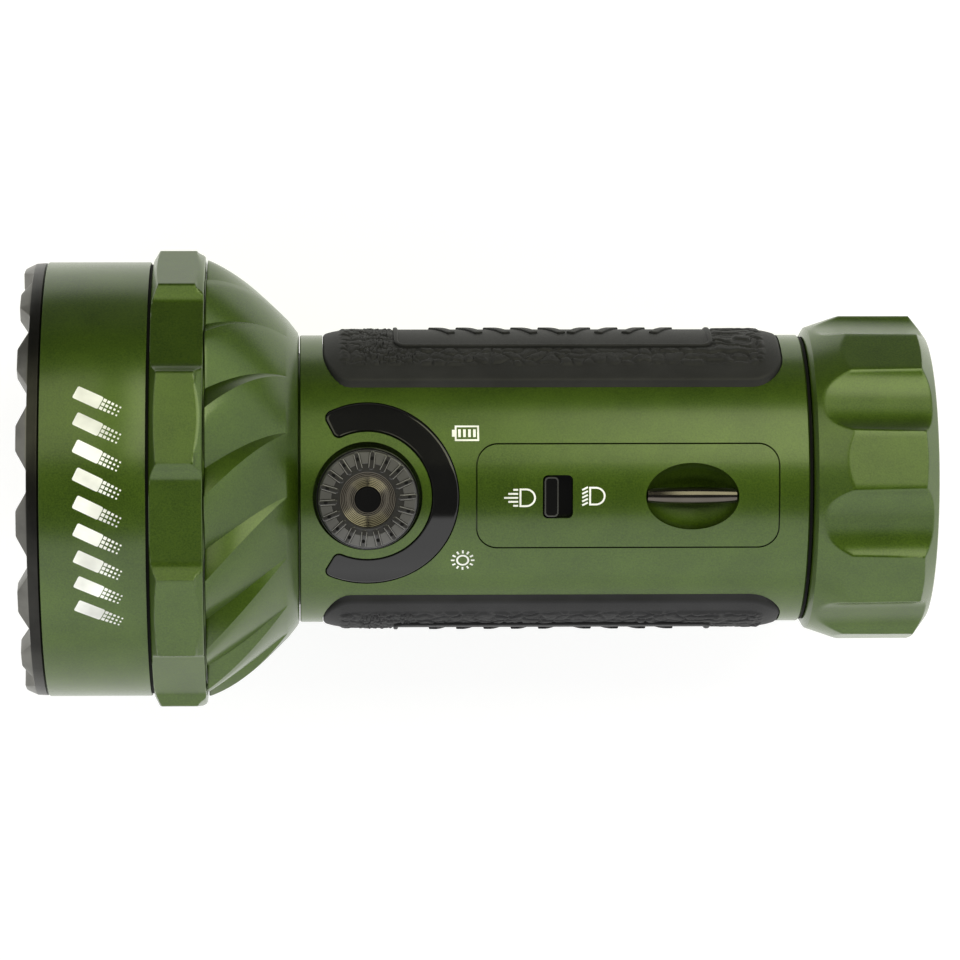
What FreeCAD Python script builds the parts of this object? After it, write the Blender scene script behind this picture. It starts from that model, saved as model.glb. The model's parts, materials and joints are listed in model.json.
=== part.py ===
import FreeCAD, Part
import math
import os

# Tactical flashlight with a thumb knob, a spot/flood selector and a screw-on tail cap.
# Millimetres. +X runs along the beam, from the tail to the head. +Z is the side with the controls.
# The origin is the centre of the tail face, on the optical axis.
# Angles around the axis start at +Z and grow towards +Y.

V = FreeCAD.Vector
BEAM = V(1, 0, 0)
UP = V(0, 0, 1)
ORIGIN = V(0, 0, 0)

# Main lengths, measured from the tail face
LENGTH = 131.0
BEZEL_REAR = 127.95
BARREL_REAR = 112.82
RING_REAR = 104.87
BELL_FRONT = 104.67
BELL_REAR = 91.45
TUBE_FRONT = 91.30
TUBE_REAR_SHOULDER = 18.60
CAP_FRONT = 18.05

# Main radii
BARREL_R = 31.64
RING_APOTHEM = 33.15
TUBE_R = 20.95
CAP_R = 23.83
BATTERY_BORE_R = 16.40
BATTERY_R = 16.00
ELECTRONICS_BORE_R = 15.60

# Gaps
SEAT_GAP = 0.05
RUNNING_GAP = 0.05

# Height range of the upright prisms that shape the control side
CUTTER_BOTTOM = 5.0
CUTTER_TOP = 25.0

# Strike bezel
BEZEL_TEETH = 16
BEZEL_TIP_PHASE = 4.4
BEZEL_NOTCH_DEPTH = 1.50
BEZEL_TIP_R = 30.90
BEZEL_REAR_R = 31.55
BEZEL_THREAD_R = 29.85
BEZEL_BORE_R = 28.90
BEZEL_LIP_R = 26.60
BEZEL_THREAD_END = 121.20
BEZEL_LIP_REAR = 127.00

# Lens, reflector and light engine
LENS_FRONT = 126.00
LENS_REAR = 123.50
LENS_R = 28.60
REFLECTOR_R = 28.40
REFLECTOR_REAR = 114.70
SPOT_CUP_R = 12.60
SPOT_CUP_REAR = 104.20
SPOT_CUP_WALL_R = 13.40
FLOOD_CUPS = 9
FLOOD_CUP_R = 6.50
FLOOD_CIRCLE_R = 20.60
COLOUR_LEDS = 3
COLOUR_CIRCLE_R = 26.00
FLOOD_BOARD_REAR = 112.20
SPOT_BOARD_REAR = 101.60
BOARD_THICKNESS = 1.60
FLOOD_SHELF_R = 28.50
SPOT_POCKET_R = 13.60
HEAT_SLAB_REAR = 98.00

# Grip ring: raised and recessed facets in turn
RING_FACETS = 7
RING_FACET_PHASE = -22.3
RING_FRONT = 112.42
RING_BORE_R = 30.05
RING_RAISED_HALF = 11.6
RING_RECESS_APOTHEM = 31.72
RING_RECESS_HALF = 10.1
SPIGOT_R = 30.00
SPIGOT_FRONT = 118.00

# Heatsink bell: the crest line of its fins is an arc
BELL_ARC_X = 118.39
BELL_ARC_Z = 1.90
BELL_ARC_R = 33.08
FINS = 16
FIN_PHASE = -2.9
FIN_SWEEP = 23.3
FIN_DEPTH = 2.0
FIN_FADE_X = 93.2
FIN_LAND = 0.105
FIN_VALLEY = 0.62
FIN_SECTIONS = 8

# Body tube threads and spigots
TUBE_SPIGOT_R = 18.40
TUBE_SPIGOT_FRONT = 97.50
TUBE_THREAD_R = 19.40
TUBE_THREAD_ROOT_R = 18.95
TUBE_TAIL = 7.00
THREAD_PITCH = 1.25
BATTERY_BORE_END = 75.50

# Grip pads
PAD_REAR = 21.68
PAD_FRONT = 88.03
PAD_R = 22.10
PAD_FLOOR_R = 19.45
PAD_HALF_WIDTH = 14.63
PAD_FRONT_CORNER = (4.0, 6.7)
PAD_REAR_CORNER = (4.8, 5.1)
PAD_RAMP = 3.2
PLATE_REAR = 31.6
PLATE_FRONT = 77.7
PLATE_HALF_WIDTH = 8.3
PLATE_RISE = 0.35

# Thumb knob
KNOB_X = 81.68
KNOB_R = 7.325
KNOB_RIBS = 18
KNOB_TOP = 23.80
KNOB_BOTTOM = 18.40
KNOB_WELL_R = 7.80
KNOB_WELL_FLOOR = 17.20
KNOB_BASE_R = 6.90
STEM_R = 2.20
SLEEVE_R = 3.20
BUSHING_R = 4.60
SPRING_R = 1.45
SPRING_BORE_R = 0.75
SPRING_BOTTOM = 9.51
SPRING_TOP = 11.09
SPRING_THICKNESS = 0.22

# Arc window round the knob
WINDOW_OUTER_R = 13.04
WINDOW_INNER_R = 9.17
WINDOW_HALF_SPAN = 119.0
WINDOW_FLOOR_R = 19.75
WINDOW_TOP_R = 21.02
WINDOW_CORNER_R = 1.0
SKIN_REACH = 15.0
STRIP_INNER_R = 10.2
STRIP_OUTER_R = 12.0
STRIP_HALF_SPAN = 70.0
STRIP_FLOOR_R = 18.55
STRIP_TOP_R = 18.80
LED_CIRCLE_R = 11.1

# Control panel, lanyard dish and selector
PANEL_REAR = 22.89
PANEL_FRONT = 66.26
PANEL_HALF_WIDTH = 7.57
PANEL_CORNER_R = 3.10
PANEL_FLOOR_R = 19.55
PANEL_GROOVE = 0.20
DISH_X = 35.40
DISH_HALF_LENGTH = 6.66
DISH_HALF_WIDTH = 4.85
DISH_DEPTH = 3.30
DISH_WALL = 0.80
BAR_R = 1.25
BAR_Z = 19.75
BAR_HALF_LENGTH = 6.36
BAR_END_R = 1.00
SLIDER_LENGTH = 2.20
SLIDER_WIDTH = 5.90
SLIDER_TOP = 20.90
SLIDER_END_GAP = 0.15
SELECTOR_TRAVEL = 1.80
SLOT_X = 54.61
SLOT_LENGTH = SLIDER_LENGTH + SELECTOR_TRAVEL + 2 * SLIDER_END_GAP
SLOT_WIDTH = 6.20
SLOT_CORNER_R = 0.75

# Tail cap
CAP_FACETS = 8
CAP_FLAT_PHASE = -13.4
CAP_FLAT_APOTHEM = 23.38
CAP_SCALLOP_FRONT_R = 22.35
CAP_SCALLOP_REAR_R = 21.95
CAP_BORE_R = 19.60
CAP_FLOOR = 3.00
CAP_FACE_R = 20.30


def save(node, shape):
    """Write one node's solids as its STEP file."""
    solids = Part.makeCompound(shape.Solids)
    solids.exportStep(os.path.join("parts", node + ".step"))


def about_beam(shape, angle):
    """A copy turned about the optical axis by an angle that starts at +Z and grows towards +Y."""
    copy = shape.copy()
    copy.rotate(ORIGIN, BEAM, -angle)
    return copy


def around(shape, count, phase=0.0):
    """Copies of a shape at equal angles about the optical axis."""
    return [about_beam(shape, phase + 360.0 * step / count) for step in range(count)]


def turned(outline):
    """Solid of revolution about the optical axis of an outline of (x, radius) points."""
    points = [V(x, 0, radius) for x, radius in outline]
    face = Part.Face(Part.makePolygon(points + points[:1]))
    solid = face.revolve(ORIGIN, BEAM, 360)
    if solid.Volume < 0:
        solid.reverse()
    return solid


def tube(x0, x1, outer, inner=0.0):
    """Cylinder or ring about the optical axis."""
    solid = Part.makeCylinder(outer, x1 - x0, V(x0, 0, 0), BEAM)
    if inner:
        solid = solid.cut(Part.makeCylinder(inner, x1 - x0, V(x0, 0, 0), BEAM))
    return solid


def post(z0, z1, outer, inner=0.0, x=KNOB_X, y=0.0):
    """Cylinder or ring that stands along +Z, on the knob's axis unless said otherwise."""
    solid = Part.makeCylinder(outer, z1 - z0, V(x, y, z0), UP)
    if inner:
        solid = solid.cut(Part.makeCylinder(inner, z1 - z0, V(x, y, z0), UP))
    return solid


def block(x0, x1, y0, y1, z0, z1):
    """Rectangular block between two corners."""
    return Part.makeBox(x1 - x0, y1 - y0, z1 - z0, V(x0, y0, z0))


def rounded_block(x0, x1, half_width, corner, z0, z1):
    """Block with rounded corners seen from above, centred on y = 0."""
    solid = block(x0, x1, -half_width, half_width, z0, z1)
    corners = [edge for edge in solid.Edges if abs(edge.tangentAt(0).z) > 0.9]
    return solid.makeFillet(corner, corners)


def prism(points, direction):
    """Straight prism on a closed polygon."""
    return Part.Face(Part.makePolygon(points + points[:1])).extrude(direction)


def polar(x, radius, angle):
    """Point at an angle about the optical axis."""
    turn = math.radians(angle)
    return V(x, radius * math.sin(turn), radius * math.cos(turn))


def coil(base, direction, radius, wire, height, turns):
    """Round-wire compression spring."""
    helix = Part.makeHelix(height / turns, height, radius)
    circle = Part.Wire(Part.makeCircle(wire, V(radius, 0, 0), V(0, 1, 0)))
    spring = Part.Wire(helix.Edges).makePipeShell([circle], True, True)
    spring.Placement = FreeCAD.Placement(base, FreeCAD.Rotation(UP, direction))
    return spring


def cup(x_front, r_front, x_back, r_back):
    """Solid inside of a parabolic reflector cup."""
    points = []
    for step in range(7):
        part = step / 6.0
        radius = math.sqrt(r_back ** 2 + (r_front ** 2 - r_back ** 2) * part)
        points.append(V(x_back + (x_front - x_back) * part, 0, radius))
    curve = Part.BSplineCurve()
    curve.interpolate(points)
    foot = V(x_back, 0, 0)
    head = V(x_front, 0, 0)
    edges = [curve.toShape(), Part.makeLine(points[-1], head), Part.makeLine(head, foot),
             Part.makeLine(foot, points[0])]
    return Part.Face(Part.Wire(edges)).revolve(ORIGIN, BEAM, 360)


def strike_bezel():
    """Toothed front ring that screws into the barrel and holds the lens."""
    ring = turned([(BEZEL_THREAD_END, BEZEL_THREAD_R), (BEZEL_REAR, BEZEL_THREAD_R),
                   (BEZEL_REAR, BEZEL_REAR_R), (LENGTH - BEZEL_NOTCH_DEPTH, BEZEL_REAR_R - 0.1),
                   (LENGTH - 0.2, BEZEL_TIP_R), (LENGTH, BEZEL_TIP_R - 0.2),
                   (LENGTH, BEZEL_TIP_R - 2.7), (BEZEL_LIP_REAR + 0.6, BEZEL_LIP_R),
                   (BEZEL_LIP_REAR, BEZEL_LIP_R), (BEZEL_LIP_REAR, BEZEL_BORE_R),
                   (BEZEL_THREAD_END, BEZEL_BORE_R)])
    pitch = 360.0 / BEZEL_TEETH
    root = BEZEL_TIP_R * math.tan(math.radians(2.75))
    mouth = BEZEL_TIP_R * math.tan(math.radians(pitch / 2 - 3.3))
    floor = LENGTH - BEZEL_NOTCH_DEPTH
    notch = prism([V(floor, -root, 20), V(LENGTH, -mouth, 20), V(LENGTH + 1, -mouth, 20),
                   V(LENGTH + 1, mouth, 20), V(LENGTH, mouth, 20), V(floor, root, 20)], UP * 15)
    return ring.cut(around(notch, BEZEL_TEETH, BEZEL_TIP_PHASE + pitch / 2))


def lens():
    """Flat glass with eased edges."""
    ease = 0.3
    return turned([(LENS_REAR, 0), (LENS_REAR, LENS_R - ease), (LENS_REAR + ease, LENS_R),
                   (LENS_FRONT - ease, LENS_R), (LENS_FRONT, LENS_R - ease), (LENS_FRONT, 0)])


def reflector():
    """One deep cup for the spot and a ring of small cups for the flood."""
    body = tube(REFLECTOR_REAR, LENS_REAR, REFLECTOR_R)
    body = body.fuse(tube(SPOT_CUP_REAR, REFLECTOR_REAR, SPOT_CUP_WALL_R)).removeSplitter()
    cups = [cup(LENS_REAR, SPOT_CUP_R, SPOT_CUP_REAR, 3.0)]
    flood = cup(LENS_REAR, FLOOD_CUP_R, REFLECTOR_REAR, 2.6)
    flood.translate(V(0, 0, FLOOD_CIRCLE_R))
    cups += around(flood, FLOOD_CUPS)
    window = Part.makeCylinder(1.5, 12, V(REFLECTOR_REAR - 1, 0, COLOUR_CIRCLE_R), BEAM)
    cups += around(window, COLOUR_LEDS, 180.0 / FLOOD_CUPS)
    return body.cut(cups)


def led_chip(x, side, height, radius):
    """Square LED package at a radius from the optical axis."""
    return block(x, x + height, -side / 2, side / 2, radius - side / 2, radius + side / 2)


def board_screws():
    """Cap screws that hold the two LED boards to the heatsink."""
    shank = 3.0
    spot_face = SPOT_BOARD_REAR + BOARD_THICKNESS
    screw = tube(SPOT_BOARD_REAR - shank + BOARD_THICKNESS, spot_face, 0.9)
    screw = screw.fuse(tube(spot_face, spot_face + 0.9, 1.6)).removeSplitter()
    screw.translate(V(0, 0, 8.0))
    screws = around(screw, 2, 90.0)
    flood = screw.copy()
    flood.translate(V(FLOOD_BOARD_REAR - SPOT_BOARD_REAR, 0, 15.6 - 8.0))
    return screws + around(flood, 3, 40.0)


def led_wires():
    """Insulated leads that run from the driver through the heatsink to the LED boards."""
    start = 94.4
    spot = Part.makeCylinder(0.7, SPOT_BOARD_REAR + BOARD_THICKNESS + 0.3 - start, V(start, 0, 7.0), BEAM)
    flood = Part.makeCylinder(0.45, FLOOD_BOARD_REAR + BOARD_THICKNESS + 0.3 - start, V(start, 0, 14.5),
                              BEAM)
    return around(spot, 2) + around(flood, 3, 100.0)


def head_barrel():
    """Plain cylinder between the bezel and the grip ring."""
    ease = 0.25
    front = BEZEL_REAR - 0.2
    return turned([(BARREL_REAR, RING_BORE_R), (BARREL_REAR, BARREL_R - ease),
                   (BARREL_REAR + ease, BARREL_R), (front - ease, BARREL_R), (front, BARREL_R - ease),
                   (front, BEZEL_THREAD_R + SEAT_GAP), (BEZEL_THREAD_END - 0.2, BEZEL_THREAD_R + SEAT_GAP),
                   (BEZEL_THREAD_END - 0.2, FLOOD_SHELF_R + 0.1), (SPIGOT_FRONT + 0.2, FLOOD_SHELF_R + 0.1),
                   (SPIGOT_FRONT + 0.2, RING_BORE_R)])


def grip_ring():
    """Anti-roll ring whose facets are raised and recessed in turn."""
    corner_r = RING_APOTHEM / math.cos(math.radians(RING_RAISED_HALF))
    floor_r = RING_RECESS_APOTHEM / math.cos(math.radians(RING_RECESS_HALF))
    pitch = 360.0 / RING_FACETS
    floor_start = pitch / 2 - RING_RECESS_HALF
    edges = []
    for facet in range(RING_FACETS):
        centre = RING_FACET_PHASE + pitch * facet
        raised = [polar(RING_REAR, corner_r, centre + side * RING_RAISED_HALF) for side in (-1, 1)]
        floor = [polar(RING_REAR, floor_r, centre + start) for start in (floor_start, pitch - floor_start)]
        sink = 0.7 * floor_r + 0.3 * corner_r - 0.12
        down = polar(RING_REAR, sink, centre + 0.6 * RING_RAISED_HALF + 0.4 * floor_start)
        up = polar(RING_REAR, sink, centre + pitch - 0.6 * RING_RAISED_HALF - 0.4 * floor_start)
        next_corner = polar(RING_REAR, corner_r, centre + pitch - RING_RAISED_HALF)
        edges += [Part.makeLine(raised[0], raised[1]), Part.Arc(raised[1], down, floor[0]).toShape(),
                  Part.makeLine(floor[0], floor[1]), Part.Arc(floor[1], up, next_corner).toShape()]
    body = Part.Face(Part.Wire(edges)).extrude(V(RING_FRONT - RING_REAR, 0, 0))
    envelope = turned([(RING_REAR, RING_BORE_R), (RING_REAR, 32.70), (RING_REAR + 1.0, 33.40),
                       (RING_REAR + 1.5, 34.3), (RING_FRONT - 1.25, 34.3), (RING_FRONT, 31.80),
                       (RING_FRONT, RING_BORE_R)])
    return envelope.common(body)


def bell_radius(x):
    """Radius of the fins' crest line."""
    return BELL_ARC_Z + math.sqrt(BELL_ARC_R ** 2 - (x - BELL_ARC_X) ** 2)


def bell_section(x):
    """Closed polygon of one cross-section through the finned skin."""
    strength = max(0.02, (x - FIN_FADE_X) / (BELL_FRONT - FIN_FADE_X))
    crest = bell_radius(x)
    sweep = FIN_SWEEP * (BELL_FRONT - x) / (BELL_FRONT - BELL_REAR)
    valley = FIN_VALLEY + (1.0 - FIN_VALLEY) * (1.0 - strength) * 0.85
    pitch = 360.0 / FINS
    points = []
    for fin in range(FINS):
        start = FIN_PHASE - sweep + pitch * fin
        points.append(polar(x, crest, start))
        points.append(polar(x, crest, start + pitch * FIN_LAND))
        points.append(polar(x, crest - FIN_DEPTH * strength, start + pitch * valley))
    return Part.makePolygon(points + points[:1])


def heatsink_bell():
    """Flared heatsink with spiral fins, and the spigot that carries the ring and the barrel."""
    step = (BELL_FRONT - BELL_REAR) / (FIN_SECTIONS - 1)
    sections = [bell_section(BELL_REAR + step * index) for index in range(FIN_SECTIONS)]
    skin = Part.makeLoft(sections, True, True)
    body = skin.fuse(tube(BELL_FRONT, SPIGOT_FRONT, SPIGOT_R))
    body = body.cut([tube(FLOOD_BOARD_REAR, SPIGOT_FRONT, FLOOD_SHELF_R),
                     tube(SPOT_BOARD_REAR, FLOOD_BOARD_REAR, SPOT_POCKET_R),
                     tube(BELL_REAR - 1, HEAT_SLAB_REAR, TUBE_SPIGOT_R + SEAT_GAP)])
    return body.cut(led_wires() + board_screws())


def pad_outline(side, ease):
    """Prism on the rounded outline of a grip pad, for the +Y or the -Y side."""
    front_x, front_z = PAD_FRONT_CORNER
    rear_x, rear_z = PAD_REAR_CORNER
    x0 = PAD_REAR - ease
    x1 = PAD_FRONT + ease
    half = PAD_HALF_WIDTH + ease

    def quarter(cx, cz, rx, rz, from_angle):
        """Points of a quarter ellipse in the XZ plane."""
        return [V(cx + rx * math.cos(from_angle + math.pi / 16 * step), 0,
                  cz + rz * math.sin(from_angle + math.pi / 16 * step)) for step in range(9)]

    points = quarter(x1 - front_x, half - front_z, front_x, front_z, 0)
    points += quarter(x0 + rear_x, half - rear_z, rear_x, rear_z, math.pi / 2)
    points += quarter(x0 + rear_x, rear_z - half, rear_x, rear_z, math.pi)
    points += quarter(x1 - front_x, front_z - half, front_x, front_z, 1.5 * math.pi)
    return prism(points, V(0, side * 30, 0))


def pad_shell(floor, top, ramp):
    """Tube wall that a grip pad is cut from, with ends that ramp down to the body."""
    rear = PAD_REAR - 0.2
    front = PAD_FRONT + 0.2
    return turned([(rear, floor), (rear, TUBE_R + 0.1), (rear + ramp, top), (front - ramp, top),
                   (front, TUBE_R + 0.1), (front, floor)])


def grip_pad(side):
    """Moulded rubber pad with a raised plate along its middle."""
    skin = pad_shell(PAD_FLOOR_R + SEAT_GAP, PAD_R - PLATE_RISE, PAD_RAMP)
    pad = skin.common(pad_outline(side, -SEAT_GAP))
    plate = pad_shell(PAD_R - 0.6, PAD_R, PAD_RAMP)
    reach = side * CUTTER_TOP
    plate = plate.common(block(PLATE_REAR, PLATE_FRONT, min(0, reach), max(0, reach),
                               -PLATE_HALF_WIDTH, PLATE_HALF_WIDTH))
    return pad.fuse(plate).removeSplitter()


def window_sector(inner, outer, half_span, corner, z0, z1):
    """Arc-shaped prism round the knob; its middle points to the tail."""
    ring = post(z0, z1, outer, inner)
    reach = 2 * outer
    gap = math.radians(180 - half_span)
    side_x = KNOB_X + reach * math.cos(gap)
    side_y = reach * math.sin(gap)
    wedge = prism([V(KNOB_X, 0, z0), V(side_x, -side_y, z0), V(KNOB_X + reach, -reach, z0),
                   V(KNOB_X + reach, reach, z0), V(side_x, side_y, z0)], V(0, 0, z1 - z0))
    sector = ring.cut(wedge)
    ends = [edge for edge in sector.Edges
            if edge.Curve.TypeId == "Part::GeomLine" and abs(edge.tangentAt(0).z) > 0.9]
    return sector.makeFillet(corner, ends)


def indicator_window():
    """Dark curved window over the indicator lights."""
    sector = window_sector(WINDOW_INNER_R, WINDOW_OUTER_R, WINDOW_HALF_SPAN, WINDOW_CORNER_R,
                           CUTTER_BOTTOM, CUTTER_TOP)
    return sector.common(tube(KNOB_X - SKIN_REACH, KNOB_X + SKIN_REACH, WINDOW_TOP_R, WINDOW_FLOOR_R))


def indicator_strip():
    """Flexible circuit under the arc window."""
    sector = window_sector(STRIP_INNER_R, STRIP_OUTER_R, STRIP_HALF_SPAN, 0.4,
                           CUTTER_BOTTOM, CUTTER_TOP)
    return sector.common(tube(KNOB_X - SKIN_REACH, KNOB_X + SKIN_REACH, STRIP_TOP_R, STRIP_FLOOR_R))


def indicator_leds():
    """Small LEDs along the arc, each square to the curved strip."""
    leds = []
    for angle in (-60, -36, -12, 12, 36, 60):
        turn = math.radians(angle)
        across = math.degrees(math.asin(LED_CIRCLE_R * math.sin(turn) / STRIP_TOP_R))
        chip = block(-0.7, 0.7, -0.5, 0.5, STRIP_TOP_R, STRIP_TOP_R + 0.55)
        chip.translate(V(KNOB_X - LED_CIRCLE_R * math.cos(turn), 0, 0))
        leds.append(about_beam(chip, across))
    return leds


def panel_block(ease):
    """Prism on the control panel's outline."""
    return rounded_block(PANEL_REAR - ease, PANEL_FRONT + ease, PANEL_HALF_WIDTH + ease,
                         PANEL_CORNER_R + ease, CUTTER_BOTTOM, CUTTER_TOP)


def dish(ease):
    """Ellipsoid of the lanyard dish, larger all round by ease."""
    ball = Part.makeSphere(1.0)
    stretch = FreeCAD.Matrix()
    stretch.scale(V(DISH_HALF_LENGTH + ease, DISH_HALF_WIDTH + ease, DISH_DEPTH + ease))
    shape = ball.transformGeometry(stretch)
    shape.translate(V(DISH_X, 0, TUBE_R - 0.05))
    return shape


def lanyard_bar():
    """Crowned bar that a lanyard loops under; its ends sit in the wall of the dish."""
    foot = V(-BAR_HALF_LENGTH, 0, 0)
    head = V(BAR_HALF_LENGTH, 0, 0)
    rise = V(0, 0, BAR_END_R)
    edges = [Part.Arc(foot + rise, V(0, 0, BAR_R), head + rise).toShape(),
             Part.makeLine(head + rise, head), Part.makeLine(head, foot), Part.makeLine(foot, foot + rise)]
    bar = Part.Face(Part.Wire(edges)).revolve(ORIGIN, BEAM, 360)
    bar.translate(V(DISH_X, 0, BAR_Z))
    return bar


def slot(x0, x1, half_width, z0, z1):
    """Rounded slot or slider outline seen from above."""
    return rounded_block(x0, x1, half_width, SLOT_CORNER_R, z0, z1)


def control_panel(bar):
    """Flush cover plate with the lanyard dish and the selector slot."""
    plate = panel_block(-PANEL_GROOVE).common(tube(PANEL_REAR, PANEL_FRONT, TUBE_R, PANEL_FLOOR_R))
    bowl = dish(DISH_WALL).common(tube(PANEL_REAR, PANEL_FRONT, PANEL_FLOOR_R + 0.5))
    half = SLOT_LENGTH / 2
    opening = slot(SLOT_X - half, SLOT_X + half, SLOT_WIDTH / 2, 15, 25)
    return plate.fuse(bowl).cut([dish(0.0), opening, bar]).removeSplitter()


def selector_slider():
    """Two-position slider: a finger bar, a shutter under the slot and a leg to the switch."""
    head_side = SLOT_X + SLOT_LENGTH / 2 - SLIDER_END_GAP
    finger = slot(head_side - SLIDER_LENGTH, head_side, SLIDER_WIDTH / 2, 19.10, SLIDER_TOP)
    top_edges = [edge for edge in finger.Edges if edge.BoundBox.ZMin > SLIDER_TOP - 0.01]
    finger = finger.makeFillet(0.3, top_edges)
    middle = head_side - SLIDER_LENGTH / 2
    shutter = block(middle - 4.2, middle + 1.9, -3.6, 3.6, 18.55, 18.95)
    neck = block(middle - 0.9, middle + 0.9, -2.4, 2.4, 18.90, 19.20)
    leg = block(middle - 0.6, middle + 0.6, -0.8, 0.8, 17.75, 18.60)
    return finger.fuse([shutter, neck, leg]).removeSplitter()


def selector_switch():
    """Two-position slide switch body with a notch for the slider's leg."""
    body = block(SLOT_X - 3.5, SLOT_X + 3.5, -2.0, 2.0, 16.95, 18.25)
    notch = block(SLOT_X - 2.3, SLOT_X + 2.3, -1.1, 1.1, 17.45, 18.30)
    return body.cut(notch)


def body_tube():
    """Battery tube with the recesses for the pads, the knob, the window and the control panel."""
    land = THREAD_PITCH / 2
    outline = [(TUBE_TAIL, BATTERY_BORE_R), (TUBE_TAIL, TUBE_THREAD_ROOT_R)]
    start = TUBE_TAIL + 1.0
    for ridge in range(5):
        x = start + THREAD_PITCH * ridge
        outline += [(x, TUBE_THREAD_ROOT_R), (x + land / 2, TUBE_THREAD_R),
                    (x + land, TUBE_THREAD_R), (x + 1.5 * land, TUBE_THREAD_ROOT_R)]
    ring = 14.80
    outline += [(ring, TUBE_THREAD_ROOT_R), (ring, TUBE_THREAD_R), (ring + 0.4, TUBE_THREAD_R),
                (ring + 0.4, 18.30), (ring + 1.8, 18.30), (ring + 1.8, TUBE_THREAD_R),
                (TUBE_REAR_SHOULDER, TUBE_THREAD_R), (TUBE_REAR_SHOULDER, TUBE_R - 0.2),
                (TUBE_REAR_SHOULDER + 0.2, TUBE_R), (TUBE_FRONT - 0.15, TUBE_R),
                (TUBE_FRONT, TUBE_R - 0.15), (TUBE_FRONT, TUBE_SPIGOT_R),
                (TUBE_SPIGOT_FRONT, TUBE_SPIGOT_R), (TUBE_SPIGOT_FRONT, ELECTRONICS_BORE_R),
                (BATTERY_BORE_END, ELECTRONICS_BORE_R), (BATTERY_BORE_END, BATTERY_BORE_R)]
    body = turned(outline)
    pad_room = pad_shell(PAD_FLOOR_R, PAD_R + 1.0, 0.0)
    recesses = [pad_room.common(pad_outline(side, 0.0)) for side in (-1, 1)]
    recesses.append(post(KNOB_WELL_FLOOR, CUTTER_TOP, KNOB_WELL_R))
    recesses.append(post(10, KNOB_WELL_FLOOR, BUSHING_R))
    shell = tube(KNOB_X - SKIN_REACH, KNOB_X + SKIN_REACH, CUTTER_TOP, WINDOW_FLOOR_R)
    recesses.append(shell.common(window_sector(WINDOW_INNER_R - SEAT_GAP, WINDOW_OUTER_R + SEAT_GAP,
                                               WINDOW_HALF_SPAN + 0.3, WINDOW_CORNER_R,
                                               CUTTER_BOTTOM, CUTTER_TOP)))
    shell = tube(KNOB_X - SKIN_REACH, KNOB_X + SKIN_REACH, 20.5, STRIP_FLOOR_R - SEAT_GAP)
    recesses.append(shell.common(window_sector(STRIP_INNER_R - 0.3, STRIP_OUTER_R + 0.3,
                                               STRIP_HALF_SPAN + 5, 0.4, CUTTER_BOTTOM, CUTTER_TOP)))
    panel_room = tube(PANEL_REAR - 1, PANEL_FRONT + 1, CUTTER_TOP, PANEL_FLOOR_R)
    recesses.append(panel_block(0.0).common(panel_room))
    recesses.append(dish(DISH_WALL + SEAT_GAP))
    recesses.append(block(SLOT_X - 3.55, SLOT_X + 3.55, -2.05, 2.05, 16.90, 20))
    recesses.append(block(SLOT_X - 5.9, SLOT_X + 4.4, -3.9, 3.9, 18.30, 20))
    return body.cut(recesses)


def driver_parts():
    """Coil, capacitors and chips on the rear face of the driver board."""
    face = 92.60
    parts = [block(face - 3.4, face, -9.5, -3.0, -11.0, -4.5)]
    parts.append(block(face - 2.8, face, 3.2, 9.2, -10.5, -4.5))
    for y in (-7.5, 0.0, 7.5):
        parts.append(Part.makeCylinder(1.9, 2.6, V(face - 2.6, y, 0.5), BEAM))
    for y in (-8.5, -4.8, 4.8, 8.5):
        parts.append(block(face - 0.9, face, y - 1.3, y + 1.3, 4.5, 7.6))
    return parts


def knob_crown():
    """Clear ribbed crown of the thumb knob."""
    crown = post(20.20, KNOB_TOP, KNOB_R)
    rims = [edge for edge in crown.Edges if edge.BoundBox.ZMin > KNOB_TOP - 0.01]
    crown = crown.makeFillet(0.5, rims)
    groove = prism([V(KNOB_R - 0.35, 0, 19), V(KNOB_R + 1, -1.1, 19), V(KNOB_R + 1, 1.1, 19)], UP * 6)
    grooves = []
    for rib in range(KNOB_RIBS):
        notch = groove.copy()
        notch.rotate(ORIGIN, UP, 360.0 * rib / KNOB_RIBS)
        notch.translate(V(KNOB_X, 0, 0))
        grooves.append(notch)
    grooves.append(post(22.50, KNOB_TOP + 1, 4.05))
    return crown.cut(grooves)


def knob_stem():
    """Keyed stem that turns the sleeve and slides in it when the knob is pressed."""
    return post(11.20, 20.00, STEM_R).cut(block(KNOB_X - 3, KNOB_X + 3, 1.60, 4, 11, 19.0))


def knob_spring():
    """Two disc springs, face to face, that push the knob back out."""
    middle = (SPRING_BOTTOM + SPRING_TOP) / 2
    half = SPRING_THICKNESS / 2
    steepness = (middle - half - SPRING_BOTTOM) / (SPRING_R - SPRING_BORE_R)
    fold = SPRING_R - (middle - SPRING_BOTTOM - SPRING_THICKNESS) / steepness
    outline = [(SPRING_R, SPRING_BOTTOM), (SPRING_BORE_R, middle - half), (SPRING_BORE_R, middle + half),
               (SPRING_R, SPRING_TOP), (SPRING_R, SPRING_TOP - SPRING_THICKNESS), (fold, middle),
               (SPRING_R, SPRING_BOTTOM + SPRING_THICKNESS)]
    points = [V(KNOB_X + radius, 0, z) for radius, z in outline]
    face = Part.Face(Part.makePolygon(points + points[:1]))
    return face.revolve(V(KNOB_X, 0, 0), UP, 360)


def knob_drive_sleeve():
    """Rotating sleeve with a keyed bore and a pin down into the encoder."""
    bore = post(9.40, 19, STEM_R + RUNNING_GAP)
    bore = bore.cut(block(KNOB_X - 3, KNOB_X + 3, 1.60 + RUNNING_GAP, 4, 9, 19.5))
    return post(7.60, 17.90, SLEEVE_R).cut(bore).fuse(post(4.00, 7.60, 1.00)).removeSplitter()


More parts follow.
